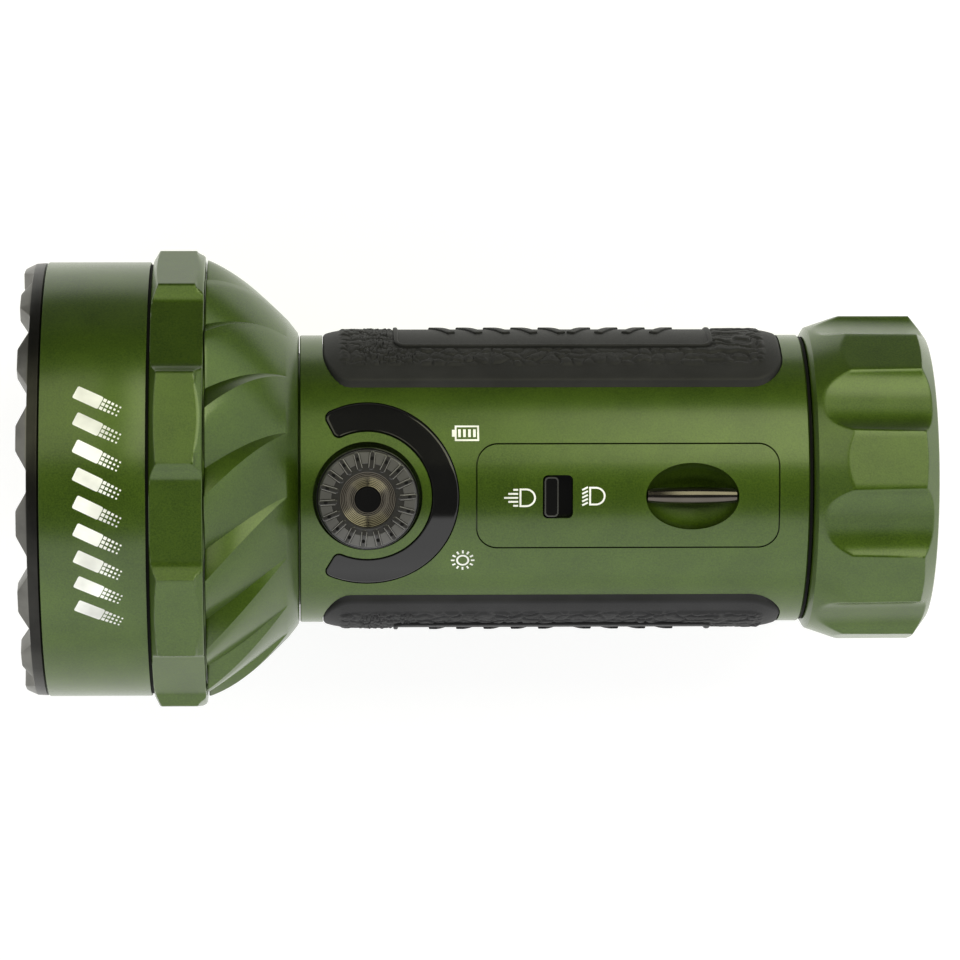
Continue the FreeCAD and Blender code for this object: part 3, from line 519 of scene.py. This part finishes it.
def tail_cap():
    """Cap with flats and scallops cut in turn into a turned blank."""
    angles = np.arange(0, 360, 0.5)
    pitch = 360.0 / CAP_FACETS
    offset = np.abs((angles - CAP_PHASE + pitch / 2) % pitch - pitch / 2)
    across = np.radians(pitch / 2 - offset)
    x = np.concatenate([np.linspace(0.04, 3.0, 30), np.linspace(3.2, 12.0, 26),
                        np.linspace(12.2, CAP_FRONT - 0.3, 34), [CAP_FRONT - 0.15, CAP_FRONT - 0.04]])
    blank = np.interp(x, [0, 0.15, 2.25, 12.5, 17.43, CAP_FRONT], [20.3, 20.8, CAP_R, CAP_R, 22.02, 20.95])
    rows = []
    for place, level in zip(x, blank):
        flat = CAP_APOTHEM / np.cos(np.radians(offset))
        row = soft_min(flat, level + 0 * angles, 0.10)
        scallop = 21.95 + 0.40 * place / CAP_FRONT
        lateral = level * np.sin(np.minimum(across, 1.2))
        floor = (scallop + 0.93 * (lateral / 4.8) ** 3.4) / np.cos(np.minimum(across, 1.2))
        row = soft_min(row, floor, 0.16)
        rows.append(row)
    rows = np.array(rows)
    rim = np.minimum(rows[-1], 20.8)
    loops = [(CAP_FRONT, rim), (CAP_FRONT, 0 * rim + 19.6), (3.0, 0 * rim + 19.6), (3.0, 0 * rim + 12.0),
             (1.8, 0 * rim + 12.0), (1.8, 0 * rim + 8.8), (0.0, 0 * rim + 8.8),
             (0.0, 0 * rim + 19.9)]
    all_x = np.concatenate([x, [place for place, _ in loops]])
    all_r = np.concatenate([rows, [radius for _, radius in loops]])
    points = wrap(all_x[:, None], all_r, angles[None, :])
    piece("faceted_cap", points, grid_faces(len(all_x), len(angles)), GREEN, "tail_cap",
          "green_anodised", ["tail_cap"], crease=30)


# ---------------------------------------------------------------- rounded plates and marks

def rounded_loop(half_a, half_b, corner, sides=(24, 8), turns=6):
    """Points of a rounded rectangle, in order, as (a, b) pairs."""
    corner = max(corner, 0.01)
    flat_a = half_a - corner
    flat_b = half_b - corner
    arc = np.linspace(0, math.pi / 2, turns + 2)[1:-1]
    along = np.linspace(1, -1, sides[0] + 1)
    across = np.linspace(-1, 1, sides[1] + 1)
    points = []
    for turn, sign_a, sign_b in ((0, 1, 1), (1, -1, 1), (2, -1, -1), (3, 1, -1)):
        if turn % 2 == 0:
            side = [(sign_a * half_a, sign_a * flat_b * place) for place in across]
        else:
            side = [(sign_b * flat_a * place, sign_b * half_b) for place in along]
        points += side
        if turn == 0:
            points += [(flat_a + corner * math.cos(t), flat_b + corner * math.sin(t)) for t in arc]
        elif turn == 1:
            points += [(-flat_a - corner * math.sin(t), flat_b + corner * math.cos(t)) for t in arc]
        elif turn == 2:
            points += [(-flat_a - corner * math.cos(t), -flat_b - corner * math.sin(t)) for t in arc]
        else:
            points += [(flat_a + corner * math.sin(t), -flat_b - corner * math.cos(t)) for t in arc]
    return np.array(points)


def plate(half_a, half_b, corner, profile, place, sides=(24, 8), turns=6):
    """Points and faces of a rounded plate whose edge follows (inset, height) pairs."""
    last_inset, top = profile[-1]
    spread = np.linspace(last_inset, half_b - 0.02, sides[1] // 2 + 2)[1:]
    rings = list(profile) + [(inset, top) for inset in spread]
    points = []
    for inset, height in rings:
        loop = rounded_loop(half_a - inset, half_b - inset, corner - inset, sides, turns)
        points.append(place(loop[:, 0], loop[:, 1], height + 0 * loop[:, 0]))
    points = np.concatenate(points)
    count = len(loop)
    faces = grid_faces(len(rings), count, close_rows=False).tolist()
    first_b = sides[1] + 1
    top_side = first_b + turns
    left_side = top_side + sides[0] + 1 + turns
    low_side = left_side + first_b + turns
    for base, flip in ((0, True), ((len(rings) - 1) * count, False)):
        cap = []
        for step in range(sides[0]):
            near = base + top_side + step
            far = base + low_side + sides[0] - step
            cap.append([near, near + 1, far - 1, far])
        cap.append([base + index for index in range(low_side + sides[0], count)]
                   + [base + index for index in range(0, top_side + 1)])
        cap.append([base + index for index in range(top_side + sides[0], low_side + 1)])
        faces += [face[::-1] for face in cap] if flip else cap
    return points, faces


def on_body(radius, centre_x, centre_angle, tilt=0.0):
    """Placing of a flat shape on the round body: a along the beam, b round it."""
    turn = math.radians(tilt)

    def place(a, b, height):
        """Point on the body at (a, b) and a height above its surface."""
        x = centre_x + a * math.cos(turn) - b * math.sin(turn)
        arc = a * math.sin(turn) + b * math.cos(turn)
        return wrap(x, radius + height, centre_angle + np.degrees(arc / radius))

    return place


def joined(parts):
    """One set of points and faces from several."""
    points, faces, count = [], [], 0
    for some_points, some_faces in parts:
        points.append(some_points)
        faces += [[index + count for index in face] for face in some_faces]
        count += len(some_points)
    return np.concatenate(points), faces


def stroke(path, width, radius, centre_x, centre_angle, height=0.02):
    """Printed line along (a, b) points on the body, with a small thickness."""
    path = np.array(path, float)
    fine = [path[0]]
    for start, end in zip(path[:-1], path[1:]):
        count = max(1, int(np.ceil(np.linalg.norm(end - start) / 0.3)))
        fine += [start + (end - start) * part / count for part in range(1, count + 1)]
    path = np.array(fine)
    steps = np.diff(path, axis=0)
    lengths = np.linalg.norm(steps, axis=1)
    closed = np.allclose(path[0], path[-1])
    normals = np.stack([-steps[:, 1], steps[:, 0]], 1) / lengths[:, None]
    before = np.concatenate([normals[-1:] if closed else normals[:1], normals])
    after = np.concatenate([normals, normals[:1] if closed else normals[-1:]])
    mitre = before + after
    mitre /= np.linalg.norm(mitre, axis=1)[:, None]
    mitre /= np.maximum((mitre * before).sum(1), 0.5)[:, None]
    place = on_body(radius, centre_x, centre_angle)
    rows = []
    for side, level in ((1, -height), (1, height), (-1, height), (-1, -height)):
        edge = path + side * width / 2 * mitre
        rows.append(place(edge[:, 0], edge[:, 1], level))
    points = np.stack(rows)
    if closed:
        points = points[:, :-1]
    count = points.shape[1]
    faces = grid_faces(4, count, close_columns=closed).tolist()
    if not closed:
        faces.append([row * count for row in range(4)])
        faces.append([row * count + count - 1 for row in (3, 2, 1, 0)])
    return points.reshape(-1, 3), faces


def arc_path(centre, radius_a, radius_b, start, end, steps=20):
    """Points of an elliptic arc in degrees."""
    turn = np.radians(np.linspace(start, end, steps + 1))
    return np.stack([centre[0] + radius_a * np.cos(turn), centre[1] + radius_b * np.sin(turn)], 1)


def icons():
    """Generic printed symbols: charge, brightness, spot beam and flood beam."""
    line = 0.26
    x, angle = 67.52, -25.2
    battery = [stroke([(1.6, -1.03), (1.6, 1.03), (-1.6, 1.03), (-1.6, -1.03), (1.6, -1.03)],
                      line, BODY_R, x, angle),
               stroke([(1.93, -0.52), (1.93, 0.52)], 0.40, BODY_R, x, angle)]
    for step in range(4):
        a = 1.06 - 0.71 * step
        battery.append(stroke([(a, -0.58), (a, 0.58)], 0.38, BODY_R, x, angle))
    piece("print_battery", *joined(battery), PRINT, "root", None, closed=False)

    x, angle = 68.08, 26.6
    sun = [stroke(arc_path((0, 0), 0.80, 0.80, 0, 360, 32), line, BODY_R, x, angle)]
    for turn in np.radians(np.arange(12) * 30.0):
        out = np.array([math.cos(turn), math.sin(turn)])
        sun.append(stroke([1.18 * out, 1.68 * out], line, BODY_R, x, angle))
    piece("print_sun", *joined(sun), PRINT, "root", None, closed=False)

    def lamp_shape():
        """Outline of a headlamp: flat at the back, round at the front."""
        curve = arc_path((-0.08, 0), 1.27, 1.20, -90, -270, 24)
        return np.concatenate([[(0.72, 1.20)], curve[::-1], [(0.72, -1.20), (0.72, 1.20)]])

    x, angle = 59.23, 0.3
    spot = [stroke(lamp_shape(), line, BODY_R, x, angle)]
    for level, reach in ((-1.14, 1.75), (-0.57, 2.45), (0.0, 3.05), (0.57, 2.45), (1.14, 1.75)):
        spot.append(stroke([(1.05, level), (reach, level)], line, BODY_R, x, angle))
    piece("print_spot", *joined(spot), PRINT, "root", None, closed=False)

    x, angle = 49.31, -0.3
    flood = [stroke(lamp_shape(), line, BODY_R, x, angle)]
    for step in range(5):
        level = -1.10 + 0.55 * step
        flood.append(stroke([(1.04, level - 0.18), (1.85, level + 0.22)], line, BODY_R, x, angle))
    piece("print_flood", *joined(flood), PRINT, "root", None, closed=False)


def barrel_mark():
    """Generic printed band on the barrel: slanted bars that break up into squares."""
    x = 119.7
    tilt = math.radians(26.0)
    film = [(0.0, -0.02), (0.0, 0.02)]
    parts = []
    for bar in range(9):
        angle = -27.5 + 7.1 * bar
        solid = on_body(BARREL_R, x + 1.3 * math.cos(tilt),
                        angle - math.degrees(1.3 * math.sin(tilt) / BARREL_R), -26.0)
        parts.append(plate(2.0, 0.98, 0.25, film, solid, (14, 8), 3))
        for row in range(5):
            for column in range(3):
                along = 1.05 + 0.60 * row
                size = 0.24 - 0.028 * row
                place_x = x - along * math.cos(tilt) + 0.64 * (column - 1) * math.sin(tilt)
                arc = along * math.sin(tilt) + 0.64 * (column - 1) * math.cos(tilt)
                spot = on_body(BARREL_R, place_x, angle + math.degrees(arc / BARREL_R), -26.0)
                parts.append(plate(size, size - 0.001, 0.04, film, spot, (2, 2), 1))
    piece("print_mark", *joined(parts), PRINT, "root", None, closed=False)


# ---------------------------------------------------------------- grip pads

def cell_noise(u, v, seed):
    """Distances to the two nearest of a jittered grid of points, and the nearest one's own value."""
    source = np.random.default_rng(seed)
    jitter = source.random((3, 64, 64))
    first = np.full(u.shape, 9.0)
    second = np.full(u.shape, 9.0)
    value = np.zeros(u.shape)
    column = np.floor(u).astype(int)
    row = np.floor(v).astype(int)
    for shift_u in (-1, 0, 1):
        for shift_v in (-1, 0, 1):
            i = (column + shift_u) % 64
            j = (row + shift_v) % 64
            gap_u = column + shift_u + 0.15 + 0.7 * jitter[0, i, j] - u
            gap_v = row + shift_v + 0.15 + 0.7 * jitter[1, i, j] - v
            gap = np.hypot(gap_u, gap_v)
            closer = gap < first
            second = np.where(closer, first, np.minimum(second, gap))
            value = np.where(closer, jitter[2, i, j], value)
            first = np.where(closer, gap, first)
    return first, second, value


PLATE_MIDDLE = 54.65
PLATE_HALF_LENGTH = 23.05
PLATE_HALF_WIDTH = 8.6


def grip_pad(name, node, side):
    """Rubber pad: smooth border, a field of irregular pebbles and ends that ramp down."""
    x = np.concatenate([PAD_REAR + 0.03 + np.array([0, 0.03, 0.08, 0.16, 0.28]),
                        np.linspace(PAD_REAR + 0.5, PAD_FRONT - 0.5, 360),
                        PAD_FRONT - 0.03 - np.array([0.28, 0.16, 0.08, 0.03, 0])])
    middle = np.linspace(-1, 1, 171)
    across = np.concatenate([[-1.0, -0.998, -0.994], middle[1:-1], [0.994, 0.998, 1.0]])
    front_x, front_z = 4.0, 6.7
    rear_x, rear_z = 4.8, 5.1
    half = 14.6
    near_front = np.clip((x - (PAD_FRONT - front_x)) / front_x, 0, 1)
    near_rear = np.clip(((PAD_REAR + rear_x) - x) / rear_x, 0, 1)
    reach = half - front_z * (1 - np.sqrt(1 - near_front ** 2)) - rear_z * (1 - np.sqrt(1 - near_rear ** 2))
    slope = np.gradient(reach, x)
    z = reach[:, None] * across[None, :]
    xx = x[:, None] + 0 * z
    edge_side = (reach[:, None] - np.abs(z)) / np.sqrt(1 + slope[:, None] ** 2)
    edge = np.minimum(edge_side, np.minimum(xx - x[0], x[-1] - xx))
    turn = np.degrees(np.arcsin(np.clip(z / 21.6, -1, 1)))
    arc = np.radians(turn) * 21.6
    warp_u = 0.35 * np.sin(0.9 * xx + 1.3 * arc) + 0.25 * np.sin(1.7 * arc - 0.6 * xx)
    warp_v = 0.35 * np.sin(1.1 * arc + 0.7 * xx + 2.0) + 0.2 * np.sin(2.3 * xx)
    crowd = 1.0 + 0.35 * np.clip((np.abs(xx - 54.6) - 20.0) / 8.0, 0, 1)
    first, second, value = cell_noise((xx + warp_u) * 0.44 * crowd, (arc + warp_v) * 0.50 + 20, 7 + (side > 0))
    seam = np.clip((second - first) / 0.30, 0, 1)
    seam = seam * seam * (3 - 2 * seam)
    dome = 1 - 0.35 * np.clip(first, 0, 1) ** 2
    pebble = seam * (0.45 + 0.55 * value) * dome
    fold_first, fold_second, fold_value = cell_noise((xx - warp_v) * 1.15, (arc + warp_u) * 1.25 + 9, 23)
    pebble = pebble - 0.22 * (1 - np.clip((fold_second - fold_first) / 0.35, 0, 1)) * (fold_value > 0.35)
    field = np.clip((edge - 2.2) / 0.7, 0, 1)
    field = field * field * (3 - 2 * field)
    plate_gap = np.maximum(np.abs(xx - PLATE_MIDDLE) - PLATE_HALF_LENGTH, np.abs(arc) - PLATE_HALF_WIDTH)
    field = field * np.clip((plate_gap - 0.05) / 0.35, 0, 1)
    ramp = np.clip(np.minimum(xx - PAD_REAR, PAD_FRONT - xx) / 3.2, 0, 1)
    level = 21.02 + (PAD_R - 0.42 - 21.02) * np.sin(ramp * math.pi / 2) ** 0.9
    rounding = np.clip(1 - edge / 0.45, 0, 1)
    radius = level + 0.34 * field * pebble * (0.4 + 0.6 * ramp) - 0.30 * rounding ** 2.2
    y = side * np.sqrt(np.clip(radius ** 2 - z ** 2 * (radius / 21.6) ** 2, 0.01, None))
    top = np.stack([xx, y, z * radius / 21.6], -1)
    foot_r = 19.6
    foot = np.stack([xx, side * np.sqrt(foot_r ** 2 - z ** 2), z], -1)
    rows, columns = z.shape
    grid = grid_faces(rows, columns, close_rows=False, close_columns=False)
    size = rows * columns
    edge_loop = np.concatenate([np.arange(columns), np.arange(1, rows) * columns + columns - 1,
                                (rows - 1) * columns + np.arange(columns - 2, -1, -1),
                                np.arange(rows - 2, 0, -1) * columns])
    loop_after = np.roll(edge_loop, -1)
    wall = np.stack([edge_loop, loop_after, loop_after + size, edge_loop + size], 1)
    points = np.concatenate([top.reshape(-1, 3), foot.reshape(-1, 3)]) * MM
    faces = np.concatenate([grid, wall, grid[:, ::-1] + size])
    if side > 0:
        faces = faces[:, ::-1]
    piece(name, points, faces, RUBBER, "root", "pad_rubber", [node], crease=50, closed=False)
    centre = 90.0 * side
    rim = [(0.0, -0.80), (0.0, -0.14), (0.05, -0.05), (0.16, 0.0), (0.42, 0.0), (0.55, -0.06),
           (0.68, -0.30)]
    panel = plate(PLATE_HALF_LENGTH, PLATE_HALF_WIDTH, 1.7, rim, on_body(PAD_R - 0.005, PLATE_MIDDLE, centre),
                  (60, 40))
    piece(name + "_plate", *panel, RUBBER, "root", "pad_rubber", closed=False, crease=40)
    bars = []
    for step in range(9):
        tilt = 24.0 if step < 5 else -24.0
        spot_x = PLATE_MIDDLE + 16.0 - 4.0 * step
        bar_edge = [(0.0, -0.30), (0.0, -0.10), (0.06, -0.03), (0.16, 0.0)]
        bars.append(plate(3.4, 0.65, 0.3, bar_edge, on_body(PAD_R - 0.02, spot_x, centre, 90.0 + tilt), (16, 4)))
    piece(name + "_bars", *joined(bars), RUBBER, "root", "pad_rubber", closed=False, crease=40)


# ---------------------------------------------------------------- controls

def about_knob(radius, degrees, z):
    """Points round the knob's own axis, in metres."""
    turn = np.radians(degrees)
    radius, turn, z = np.broadcast_arrays(radius, turn, z)
    return np.stack([KNOB_X + radius * np.cos(turn), radius * np.sin(turn), z], -1) * MM


def knob_lathe(name, profile, material, slot, replaces=(), columns=180, crease=30.0, body="knob"):
    """Closed ring turned about the knob's axis."""
    angles = np.arange(columns) * 360.0 / columns
    radius, z = np.array(profile, float).T
    points = about_knob(radius[:, None], angles[None, :], z[:, None])
    return piece(name, points, grid_faces(len(profile), columns), material, body, slot, replaces, crease)


def knob():
    """Thumb knob: glossy crown with light facets between rounded ribs, painted highlight strips along the rib
    edges, and a turned insert.
    """
    crown = eased([(3.96, 22.60), (3.96, 23.66), (4.35, 23.60), (5.2, 23.50), (6.75, 23.22), (7.06, 22.95),
                   (7.06, 20.30), (6.0, 20.30), (6.0, 22.0), (5.0, 22.45)], 0.12)
    knob_lathe("crown_body", crown, CROWN, "smoked_plastic", ["knob_crown"])
    skirt = eased([(6.90, 20.25), (6.90, 22.50), (7.30, 22.50), (7.30, 20.25)], 0.10)
    knob_lathe("crown_skirt", skirt, GLOSS, "black_plastic")
    ribs, facets, dots, highlight_strips = [], [], [], []
    for rib in range(18):
        turn = 20.0 * rib + 4.0

        def tongue(a, b, height, turn=turn):
            """Rib placed along a radius of the knob."""
            r = 5.66 + a
            fall = 0.33 * np.clip((r - 5.0) / 2.2, 0, 1)
            return about_knob(np.hypot(r, b), turn + np.degrees(np.arctan2(b, r)), 23.72 - fall + height)

        ribs.append(plate(1.38, 0.36, 0.34, [(0, -0.5), (0, -0.10), (0.05, -0.03), (0.14, 0.0)], tongue, (12, 4)))
        middle = turn + 10.0

        def trapezoid(a, b, height, middle=middle):
            """Facet placed between two ribs, wider at the rim."""
            r = 5.98 + a
            across = b * (r * math.radians(10.0) - 0.47) / 0.585
            fall = 0.31 * np.clip((r - 5.2) / 1.75, 0, 1)
            return about_knob(r, middle + np.degrees(across / r), 23.58 - fall + height)

        facets.append(plate(0.80, 0.585, 0.08, [(0, -0.3), (0, -0.05), (0.05, 0.0)], trapezoid, (10, 4), 3))
        dots.append(plate(0.27, 0.22, 0.20, [(0, -0.1), (0, 0.02)],
                          lambda a, b, height, turn=turn: tongue(a + 0.3, b, height, turn), (2, 2), 4))
        # Thin light grey strips along both sides of each rib: painted highlight on the rib edges
        for side in (-0.35, 0.35):
            highlight_strips.append(plate(1.06, 0.04, 0.03, [(0, -0.2), (0, -0.015)],
                               lambda a, b, height, turn=turn, side=side: tongue(a, b + side, height, turn),
                               (8, 2), 2))
    piece("crown_ribs", *joined(ribs), CROWN, "knob", "smoked_plastic", closed=False, crease=35)
    piece("crown_facets", *joined(facets), FACET, "knob", "smoked_plastic", closed=False, crease=35)
    piece("crown_highlight_strips", *joined(highlight_strips), CROWN_EDGE_HIGHLIGHT, "knob", "smoked_plastic", closed=False)
    piece("crown_dots", *joined(dots), SEAL, "knob", "black_plastic", closed=False)
    groove = 0.225
    insert = [(1.85, 22.55), (1.85, 23.09)]
    for ring in range(9):
        radius = 1.90 + groove * ring
        insert += [(radius + 0.02, 23.11), (radius + 0.5 * groove, 23.055), (radius + groove - 0.02, 23.11)]
    insert += [(3.95, 23.09), (3.95, 22.55)]
    knob_lathe("turned_insert", insert, KNOB_METAL, "knob_metal", ["knob_insert"], 240, crease=12.0)


def knob_spring():
    """Two disc springs, face to face; their flattening when the knob is pressed is not modelled."""
    profile = [(1.45, 9.51), (0.75, 10.19), (0.75, 10.41), (1.45, 11.09), (1.45, 10.87), (0.863, 10.30),
               (1.45, 9.73)]
    steel = SLOT_MATERIALS["spring_steel"]
    springs = knob_lathe("disc_springs", profile, steel, "spring_steel", ["knob_spring"], 96, 30.0, "knob_drive")
    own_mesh(springs)


def arc_window():
    """Glossy curved window with a fine bevel."""
    middle = 11.105

    def place(a, b, height):
        """Point of the window: a round the knob, b outwards from the middle of its width."""
        turn = a / middle
        r = middle + b
        y = r * np.sin(turn)
        z = np.sqrt(21.02 ** 2 - y ** 2) + height
        return np.stack([KNOB_X - r * np.cos(turn), y, z], -1) * MM

    edge = [(0.02, -1.1), (0.02, -0.24), (0.05, -0.18), (0.20, -0.03), (0.27, 0.0)]
    shape = plate(middle * math.radians(119.0), 1.935, 1.0, edge, place, (120, 16), 8)
    piece("window_cover", *shape, GLOSS, "root", "gloss_black", ["indicator_window"], closed=False, crease=28)


def slider_rim():
    """Raised rounded rim on the selector's finger bar, in a lighter grey that is painted highlight."""
    middle = sum(span("selector_slider")) / 2 + 1.15
    levels = [(0.10, -0.15), (0.10, -0.02), (0.16, 0.05), (0.26, 0.05), (0.32, -0.02), (0.32, -0.15)]
    rows = []
    for inset, height in levels:
        loop = rounded_loop(2.95 - inset, 1.10 - inset, 0.75 - inset, (16, 6), 8)
        rows.append(np.stack([middle + loop[:, 1], loop[:, 0], 20.90 + height + 0 * loop[:, 0]], -1) * MM)
    points = np.stack(rows)
    piece("slider_rim", points, grid_faces(len(levels), points.shape[1]), SLIDER_RIM_HIGHLIGHT, "selector", "slider_black",
          closed=True)


# ---------------------------------------------------------------- stage

CAMERA_TILT = 7.4


def sky():
    """Studio surround: its brightness depends on the angle about the beam and on the end it is at."""
    world = bpy.data.worlds.new("studio")
    bpy.context.scene.world = world
    world.use_nodes = True
    tree = world.node_tree
    split = tree.nodes.new("ShaderNodeSeparateXYZ")
    tree.links.new(tree.nodes.new("ShaderNodeTexCoord").outputs["Generated"], split.inputs[0])

    def calculate(operation, first, second):
        """Maths node on two sockets or numbers."""
        node = tree.nodes.new("ShaderNodeMath")
        node.operation = operation
        for socket, value in zip(node.inputs, (first, second)):
            if isinstance(value, float):
                socket.default_value = value
            else:
                tree.links.new(value, socket)
        return node.outputs[0]

    def steps(source, stops):
        """Grey ramp with (position, brightness) stops."""
        node = tree.nodes.new("ShaderNodeValToRGB")
        node.color_ramp.interpolation = "LINEAR"
        while len(node.color_ramp.elements) < len(stops):
            node.color_ramp.elements.new(0.5)
        for element, (position, value) in zip(node.color_ramp.elements, stops):
            element.position = position
            element.color = (value, value, value, 1.0)
        tree.links.new(source, node.inputs[0])
        return node.outputs[0]

    angle = calculate("ARCTAN2", split.outputs["Y"], split.outputs["Z"])
    around = calculate("ADD", calculate("DIVIDE", angle, 2 * math.pi), 0.5)
    bands = [(0.5 + (place - CAMERA_TILT) / 360.0, value / SKY_TOP) for place, value in SKY_BANDS]
    along = calculate("ADD", calculate("MULTIPLY", split.outputs["X"], 0.5), 0.5)
    ends = [(0.5 + 0.5 * place, value) for place, value in SKY_ENDS]
    mixed = tree.nodes.new("ShaderNodeMix")
    mixed.inputs["B"].default_value = SKY_END_LEVEL / SKY_TOP
    tree.links.new(steps(along, ends), mixed.inputs["Factor"])
    tree.links.new(steps(around, bands), mixed.inputs["A"])
    back = tree.nodes["Background"]
    tree.links.new(mixed.outputs["Result"], back.inputs["Color"])
    back.inputs["Strength"].default_value = SKY_TOP


# Brightness of the surround at angles from the camera's direction, about the beam
SKY_TOP = 3.0
SKY_BANDS = [(-140, 0.3), (-82, 0.06), (-60, 0.08), (-50, 0.10), (-26, 0.10), (-16, 0.09), (-8, 0.09),
             (30, 0.09), (32, 1.42), (78, 1.42), (90, 1.1), (98, 0.9), (150, 0.3)]
# How far the ends of the surround take over, by the direction's share along the beam
SKY_ENDS = [(-0.75, 1.0), (-0.5, 0.0), (0.5, 0.0), (0.75, 1.0)]
SKY_END_LEVEL = 1.1
# Sideways places on the floor between which it fades from white to grey: painted shade that darkens the floor on
# the -Y side
FLOOR_PAINTED_SHADE_START = -0.080
FLOOR_PAINTED_SHADE_FULL = -0.120
# Strength of the floor's glow: painted light that keeps the floor white where shadows fall, though the floor is
# no lamp
FLOOR_PAINTED_GLOW = 0.75
WARM = (1.0, 1.0, 0.70)


def softbox(name, angle, ends, distance, height, level, colour):
    """Rectangular light parallel to the beam, of a given brightness, that faces the optical axis."""
    turn = math.radians(angle - CAMERA_TILT)
    outward_axis = Vector((0, math.sin(turn), math.cos(turn)))
    beam = Vector((1, 0, 0))
    across = outward_axis.cross(beam)
    width = ends[1] - ends[0]
    lamp = bpy.data.lights.new(name, "AREA")
    lamp.shape = "RECTANGLE"
    lamp.size = width
    lamp.size_y = height
    lamp.color = colour
    lamp.energy = level * math.pi * width * height
    obj = bpy.data.objects.new(name, lamp)
    bpy.context.scene.collection.objects.link(obj)
    place = outward_axis * distance + beam * (sum(ends) / 2)
    matrix = obj.matrix_world.copy()
    for row in range(3):
        matrix[row][0] = beam[row]
        matrix[row][1] = across[row]
        matrix[row][2] = outward_axis[row]
        matrix[row][3] = place[row]
    obj.matrix_world = matrix


def studio():
    """Floor with painted light (a white glow) and painted shade (grey on the -Y side), soft lights and a white
    surround.
    """
    size = 3.0
    low = CAD_BOX[0][2]
    corners = [(-size, -size, low), (size, -size, low), (size, size, low), (-size, size, low)]
    mesh = bpy.data.meshes.new("floor")
    mesh.from_pydata(corners, [], [(0, 1, 2, 3)])
    floor = bpy.data.objects.new("floor", mesh)
    bpy.context.scene.collection.objects.link(floor)
    m = Nodes("floor_painted_glow_and_shade")
    m.set(Roughness=0.9, Specular_IOR_Level=0.2)
    split = m.add("ShaderNodeSeparateXYZ")
    m.link(m.place, split.inputs[0])
    # Mask of the painted shade: 0 where the floor is white, 1 on the grey -Y side
    near = m.add("ShaderNodeMapRange")
    near.inputs["From Min"].default_value = FLOOR_PAINTED_SHADE_START
    near.inputs["From Max"].default_value = FLOOR_PAINTED_SHADE_FULL
    m.link(split.outputs["Y"], near.inputs["Value"])
    # Base colour: white near the object, grey on the -Y side (painted shade)
    m.link(m.ramp(near.outputs["Result"], [(0.0, (0.40, 0.40, 0.40)), (1.0, (0.10, 0.10, 0.10))]),
           m.shader.inputs["Base Color"])
    # Emission: painted light, a white glow near the object that fades away on the shaded side
    m.link(m.ramp(near.outputs["Result"], [(0.0, (1.0, 1.0, 1.0)), (1.0, (0.05, 0.05, 0.05))]),
           m.shader.inputs["Emission Color"])
    m.set(Emission_Strength=FLOOR_PAINTED_GLOW)
    m.link(m.range(m.noise(3.0), 0.85, 0.95), m.shader.inputs["Roughness"])
    mesh.materials.append(m.material)
    sky()
    softbox("key_light", -33.0, (-0.50, 0.036), 0.48, 0.40, 3.0, WARM)
    softbox("head_light", -33.0, (0.109, 0.50), 0.48, 0.40, 1.45, WARM)


# Small turn of the camera about its own line of sight, in degrees
CAMERA_ROLL = 0.126


def camera():
    """Camera looking down on the controls from a little to the -Y side."""
    tilt = math.radians(CAMERA_TILT)
    distance = 0.7026
    lens = bpy.data.cameras.new("camera")
    lens.lens = 180.0
    lens.sensor_width = 36.0
    obj = bpy.data.objects.new("camera", lens)
    bpy.context.scene.collection.objects.link(obj)
    along = 0.0893
    target = Vector((0.06498, 0.00026, 0))
    eye = Vector((along, target.y - distance * math.sin(tilt), distance * math.cos(tilt)))
    view = (target - eye).normalized()
    roll = math.radians(CAMERA_ROLL)
    right = Vector((-math.cos(roll), math.sin(roll), 0))
    up = right.cross(view).normalized()
    right = view.cross(up).normalized()
    matrix = obj.matrix_world.copy()
    for row in range(3):
        matrix[row][0] = right[row]
        matrix[row][1] = up[row]
        matrix[row][2] = -view[row]
        matrix[row][3] = eye[row]
    obj.matrix_world = matrix
    bpy.context.scene.camera = obj
    bpy.context.scene.view_settings.view_transform = "Standard"


dress_cad_nodes()
bezel()
barrel()
grip_ring()
bell()
tail_cap()
grip_pad("pad_left", "grip_pad_left", -1)
grip_pad("pad_right", "grip_pad_right", 1)
knob()
knob_spring()
arc_window()
slider_rim()
icons()
barrel_mark()
studio()
camera()
